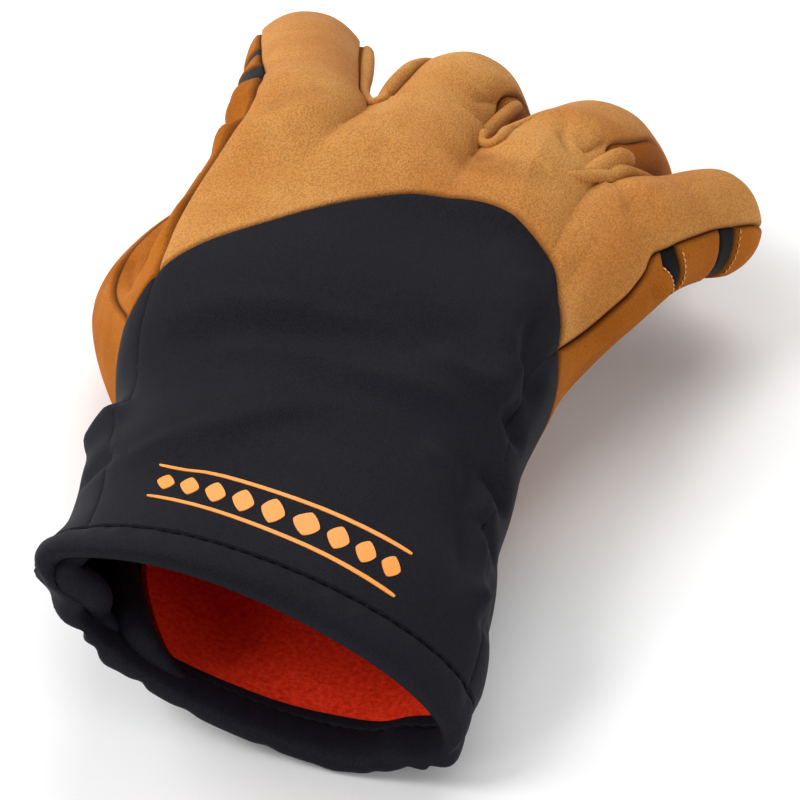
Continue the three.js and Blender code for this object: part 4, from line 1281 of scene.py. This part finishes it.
def tube(name, line, material, slot):
    """Rings round a line of places and radii: place plus radius times cosine and sine along two directions
    square to the line."""
    line, radius = line[:, :3], line[:, 3]
    heading = unit(np.gradient(line, axis=0))
    side = unit(np.cross(heading, TUBE_NORMAL))
    normal = np.cross(side, heading)
    angle = np.arange(TUBE_SIDES) * 2 * np.pi / TUBE_SIDES
    radius = np.concatenate([[TUBE_END], radius, [TUBE_END]])[:, None, None]
    centre, side, normal = (np.concatenate([v[:1], v, v[-1:]])[:, None] for v in (line, side, normal))
    rings = centre + radius * (np.cos(angle)[:, None] * side + np.sin(angle)[:, None] * normal)
    k = np.arange(len(rings) * TUBE_SIDES).reshape(len(rings), TUBE_SIDES)
    following = np.roll(k, -1, axis=1)
    cells = np.stack([k[:-1], k[1:], following[1:], following[:-1]], -1).reshape(-1, 4)
    caps = [np.stack([0 * k[0] + k[0, 0], k[0], following[0], following[0]], -1),
            np.stack([0 * k[0] + k[-1, 0], following[-1], k[-1], k[-1]], -1)]
    make_mesh(name, rings.reshape(-1, 3), np.concatenate([cells, *caps]), [material], slot,
              seam=np.full(k.size, SEAM_LIMIT), raised=np.zeros(k.size))


# %% The pipes, and the fold beside them
PIPES = {
    "web_pipe_index_middle": [
        0, "right", (0.1, 58, 0.0, 0.4), (0.1, 52, 0.4, 1.1), (0.1, 43, 0.7, 1.6), (0.09, 30, 0.7, 1.75),
        (0.07, 18, 0.7, 1.6), (0.04, 8, 0.7, 1.3), (0.02, 2, 0.6, 1.1), 1, "back",
        (-0.95, -1.5, 0.4, 1.0), (-0.8, -1.5, 0.5, 1.15), "left", (0.0, 4, 0.6, 1.5),
        (0.04, 10, 0.8, 1.9), (0.06, 17, 0.8, 1.95), (0.05, 23, 0.5, 1.6), (0.03, 29, -0.4, 1.0),
        (0.02, 33, -1.2, 0.6)],
    "web_pipe_middle_ring": [
        1, "right", (0.08, 33, -0.6, 0.8), (0.03, 28, 0.3, 1.6), (0.0, 20, 0.7, 1.9), "back",
        (0.97, 12, 0.8, 1.9), (0.95, 4, 0.8, 1.7), (0.92, -4, 0.7, 1.35), (0.98, -7.5, 0.6, 1.1), 2,
        (-0.84, -12, 0.6, 1.1), (-0.74, -10, 0.6, 1.35), (-0.74, -5, 0.5, 1.5), (-0.74, 0, 0.2, 1.3),
        (-0.72, 5, -0.6, 0.8)],
    "web_pipe_ring_little": [
        2, "back", (0.56, -11.5, -2.2, 1.0), (0.7, -9.2, -0.9, 1.3), (0.86, -5.8, 0.2, 1.5),
        (0.97, -2.2, 0.9, 1.8), 3, "left", (0.0, 3, 1.6, 2.1), (0.0, 10, 1.8, 2.2), (0.0, 17, 1.4, 2.0),
        (0.0, 25, 0.6, 1.5), (0.0, 33, -0.6, 0.9)],
    "ring_side_fold": [
        2, "back", (0.72, -4.5, -3.0, 1.4), (0.84, -1.5, -1.0, 2.0), (0.95, 4, 0.2, 2.3), "right",
        (0.02, 9, -0.2, 2.3), (0.08, 14, -1.4, 2.0), (0.12, 19, -2.6, 1.5), (0.14, 24, -3.6, 1.0)],
}
for name, row in PIPES.items():
    corners = [[*rest(glove_point(*place, -lift), 0.0), radius]
               for *place, lift, radius in named_places(row)]
    tube(name, smooth_line(corners), NUBUCK, "nubuck")

# %% The cloth at the thumb's side of the mouth
GUSSET_FOLDS = {
    "gusset_fold": [
        (196, 44, 4.0, 2.0), (206, 34, 5.0, 4.2), (216, 24, 6.0, 5.2), (226, 15, 6.5, 5.0),
        (236, 9.5, 5.8, 4.2), (247, 7, 4.2, 3.0), (258, 6, 2.6, 1.8), (266, 5.5, 1.6, 0.8)],
    "facing_fold": [
        (150, 11, 3.6, 0.8), (160, 8, 5.0, 2.2), (172, 5.5, 6.0, 3.4), (184, 4, 6.6, 4.0),
        (196, 4.8, 6.4, 3.7), (207, 6.4, 5.8, 3.2), (218, 8, 5.0, 2.6), (230, 9.2, 4.0, 1.9),
        (241, 9.8, 3.0, 1.3), (250, 10, 2.2, 0.7)],
}
for name, rows in GUSSET_FOLDS.items():
    corners = [[*hand_point(float(phi), float(y), depth), radius] for phi, y, depth, radius in rows]
    tube(name, smooth_line(corners), CLOTH, "softshell")

# %% [markdown]
# ## Stitches
# A row of stitches is one mesh: a short bent thread, repeated at even steps along a line. Each stitch rises
# out of the cloth and dives back, so it reads as a dash with a small gap. The rows lie in the groove of the
# hem, along its facing, and beside the stretch bands.

# %% Rows of stitches
STITCH_PARTS, STITCH_SIDES = 5, 6
STITCH_RISE, STITCH_SINK, STITCH_END, STITCH_FLAT = 1.1, 0.5, 0.45, 0.8
HEM_STITCH, BAND_STITCH, SEAM_STITCH = (2.9, 2.2, 0.28), (1.7, 1.25, 0.22), (1.8, 1.25, 0.2)
BAND_OFFSET, SEAM_OFFSET, SEAM_DEPTH = 1.0, 0.9, 0.25


def columns_at(s, run, rows):
    """The rows' columns at the lengths s along the run."""
    return np.stack([np.interp(s, run, column) for column in rows.T], -1)


def stitch_row(name, line, outward, pitch, length, thick, material):
    """A thin tube for each stitch. It follows half an ellipse along the line, and outward is its way up."""
    run = line_run(line)
    share = np.linspace(-0.5, 0.5, STITCH_PARTS)
    s = np.arange(0.5 * pitch, run[-1] - 0.5 * pitch, pitch)[:, None] + share * length
    centre, out = columns_at(s, run, line), unit(columns_at(s, run, outward))
    side = unit(np.cross(unit(np.gradient(centre, axis=1)), out))
    rise = np.sqrt(np.maximum(1 - (2 * share) ** 2, 0))
    centre = centre + (thick * (STITCH_RISE * rise - STITCH_SINK))[:, None] * out
    radius = thick * (STITCH_END + (1 - STITCH_END) * rise)[:, None, None]
    angle = np.arange(STITCH_SIDES) * 2 * np.pi / STITCH_SIDES
    c, s = np.cos(angle)[:, None], STITCH_FLAT * np.sin(angle)[:, None]
    rings = centre[:, :, None] + radius * (c * side[:, :, None] + s * out[:, :, None])
    k = np.arange(rings[..., 0].size).reshape(rings.shape[:3])
    following = np.roll(k, -1, axis=2)
    sides = np.stack([k[:, :-1], following[:, :-1], following[:, 1:], k[:, 1:]], -1).reshape(-1, 4)
    caps = [end[:, corners] for corners in ([0, 1, 2, 3], [0, 3, 4, 5])
            for end in (k[:, 0, ::-1], k[:, -1])]
    make_mesh(name, rings.reshape(-1, 3), np.concatenate([sides, *caps]), [material])


def hem_row(name, y, depth, way):
    """A row right round the hem at one place of its profile. Its way is 1 outside, and -1 in the mouth."""
    line, outward = (np.concatenate([v[:, 0], v[:1, 0]]) for v in on_hem(np.array([y]), np.array([depth])))
    stitch_row(name, rest(line, 0.0), way * outward, *HEM_STITCH, BLACK_THREAD)


def finger_row(name, i, panel, t, d, depth, stitch):
    """A row on the surface of a finger."""
    line = finger_point(i, panel, t, d, 0 * t + depth)
    stitch_row(name, line, finger_point(i, panel, t, d, 0 * t - 1) - line, *stitch, TAN_THREAD)


hem_row("hem_stitches", 10.0, 0.45, 1)
hem_row("facing_stitches", 9.45, 4.45, -1)

BAND_ROWS = {
    "index_stitches_1": (0, "left", 0, -1, 0.02, 0.9),
    "index_stitches_2": (0, "left", 0, 1, 0.02, 0.9),
    "little_stitches_1": (LAST, "right", 0, -1, 0.0, 0.78),
    "little_stitches_2": (LAST, "right", 0, 1, 0.0, 0.78),
    "little_stitches_3": (LAST, "right", 2, 1, 0.02, 0.95),
}
for name, (i, panel, band, edge, start, end) in BAND_ROWS.items():
    girth = np.linspace(start, end, 60)
    middle, half = bands_at(i, girth)[band:band + 2]
    finger_row(name, i, panel, girth, middle + edge * (half + BAND_OFFSET), 0, BAND_STITCH)

for name, i, start, end in (("middle_seam_stitches", 1, 23, 38), ("ring_seam_stitches", 2, 6, 34)):
    d = np.linspace(start, end, 80)
    beside = nubuck_edge(i, 1, d) + SEAM_OFFSET / FINGERS[i].half
    finger_row(name, i, "back", beside, d, SEAM_DEPTH, SEAM_STITCH)

# %% [markdown]
# ## The print
# A film of orange ink lies on the cuff: a row of rounded lozenges between two thin lines. Each mark is a
# small closed film over the same folds as the cloth, raised by two tenths of a millimetre.

# %% Marks of orange ink
INK, FILM = 0.2, 0.3
PRINT_MIDDLE = (96.0, 25.0)
PRINT_SLANT, PRINT_PITCH = -8.0, 5.7
MARKS_BESIDE, MARK_LENGTH, MARK_WIDTH, MARK_TAPER, MARK_POWER = 4, 2.15, 4.0, 0.28, 1.35
LINE_APART, LINE_LENGTH, LINE_WIDTH, LINE_POWER = 6.2, 26, 0.55, 6


def ink_point(u, w, depth):
    """A flat place in the print, u along it and w across it in millimetres, laid on the cuff."""
    c, s = np.cos(np.radians(PRINT_SLANT)), np.sin(np.radians(PRINT_SLANT))
    along_cuff, round_cuff = u * s + w * c, u * c - w * s
    return hand_point(PRINT_MIDDLE[0] - round_cuff / FOLD_SCALE, PRINT_MIDDLE[1] + along_cuff, depth)


def lozenge(u0, w0, half_u, half_w, power):
    """A rounded lozenge: |x|^p + |y|^p = 1, filled from its middle outwards."""

    def place(angle, share, depth):
        c, s = np.cos(angle), np.sin(angle)
        reach = share / (np.abs(c) ** power + np.abs(s) ** power) ** (1 / power)
        return ink_point(u0 + half_u * reach * c, w0 + half_w * reach * s, depth)

    return grid(place, np.linspace(0, 2 * np.pi, 49), np.linspace(0, 1, 9), flip=True)


marks = [lozenge(PRINT_PITCH * k, 0, MARK_LENGTH, MARK_WIDTH - MARK_TAPER * abs(k), MARK_POWER)
         for k in range(-MARKS_BESIDE, MARKS_BESIDE + 1)]
marks += [lozenge(0, side * LINE_APART, LINE_LENGTH, LINE_WIDTH, LINE_POWER) for side in (-1, 1)]
sew("cuff_print", None, marks, FILM, [PRINT], cuff_relief, everywhere, start=-INK)

# %% [markdown]
# ## The table, the light and the camera
# The glove lies on a plain pale table under soft light. The camera stands where the photograph was taken
# from, with a long lens.

# %% Stage and camera
CAMERA = SimpleNamespace(azimuth=11.1, elevation=37.7, roll=3.0, distance=959, target=(8, 79, 39),
                         focal_px=4421, image_px=800)
LIGHTS = {
    "key": ((-1.0, -0.75, 1.15), 0.6, 13.5),
    "side": ((-1.3, 0.3, 0.9), 0.8, 11),
    "fill": ((1.2, -0.6, 0.35), 0.8, 7),
    "top": ((0.0, 1.1, 1.35), 1.3, 17),
    "mouth": ((-0.75, -1.4, 0.75), 0.4, 4.5),
}
LIT_PLACE = Vector((0, 0, 0.03))
DAYLIGHT = 0.36
FLOOR_HALF, FLOOR_DROP = 4, 0.0002

scene = bpy.context.scene
azimuth, elevation, tilt = (np.radians(x) for x in (CAMERA.azimuth, CAMERA.elevation, CAMERA.roll))
forward = np.array([-np.sin(azimuth), np.cos(azimuth), 0])
back = -np.cos(elevation) * forward + np.array([0, 0, np.sin(elevation)])
level = np.array([np.cos(azimuth), np.sin(azimuth), 0])
upright = np.cross(back, level)
right = level * np.cos(tilt) + upright * np.sin(tilt)
up = upright * np.cos(tilt) - level * np.sin(tilt)
spot = (np.array(CAMERA.target) + SHIFT + CAMERA.distance * back) * MM
camera_data = bpy.data.cameras.new("camera")
camera_data.lens = CAMERA.focal_px / CAMERA.image_px * camera_data.sensor_width
camera_data.clip_end = 20
camera = bpy.data.objects.new("camera", camera_data)
scene.collection.objects.link(camera)
camera.matrix_world = Matrix([*np.stack([right, up, back, spot], 1).tolist(), [0, 0, 0, 1]])
scene.camera = camera

for name, (place, size, power) in LIGHTS.items():
    lamp = bpy.data.lights.new(name, "AREA")
    lamp.shape, lamp.size, lamp.energy = "SQUARE", size, power
    light = bpy.data.objects.new(name, lamp)
    light.location = place
    light.rotation_euler = (LIT_PLACE - light.location).to_track_quat("-Z", "Y").to_euler()
    scene.collection.objects.link(light)

scene.world = bpy.data.worlds.new("studio")
scene.world.use_nodes = True
background = scene.world.node_tree.nodes["Background"]
plug(background.inputs["Color"], (1, 1, 1, 1))
plug(background.inputs["Strength"], DAYLIGHT)
scene.view_settings.view_transform = "Standard"

floor_mesh = bpy.data.meshes.new("floor")
floor_corners = [(-1, -1), (1, -1), (1, 1), (-1, 1)]
floor_mesh.from_pydata([(x * FLOOR_HALF, y * FLOOR_HALF, -FLOOR_DROP) for x, y in floor_corners], [],
                       [(0, 1, 2, 3)])
floor = bpy.data.objects.new("floor", floor_mesh)
scene.collection.objects.link(floor)
floor_finish, add = new_material("floor")
finish_surface(add, (0.9, 0.9, 0.9, 1), 0.9)
floor_mesh.materials.append(floor_finish)
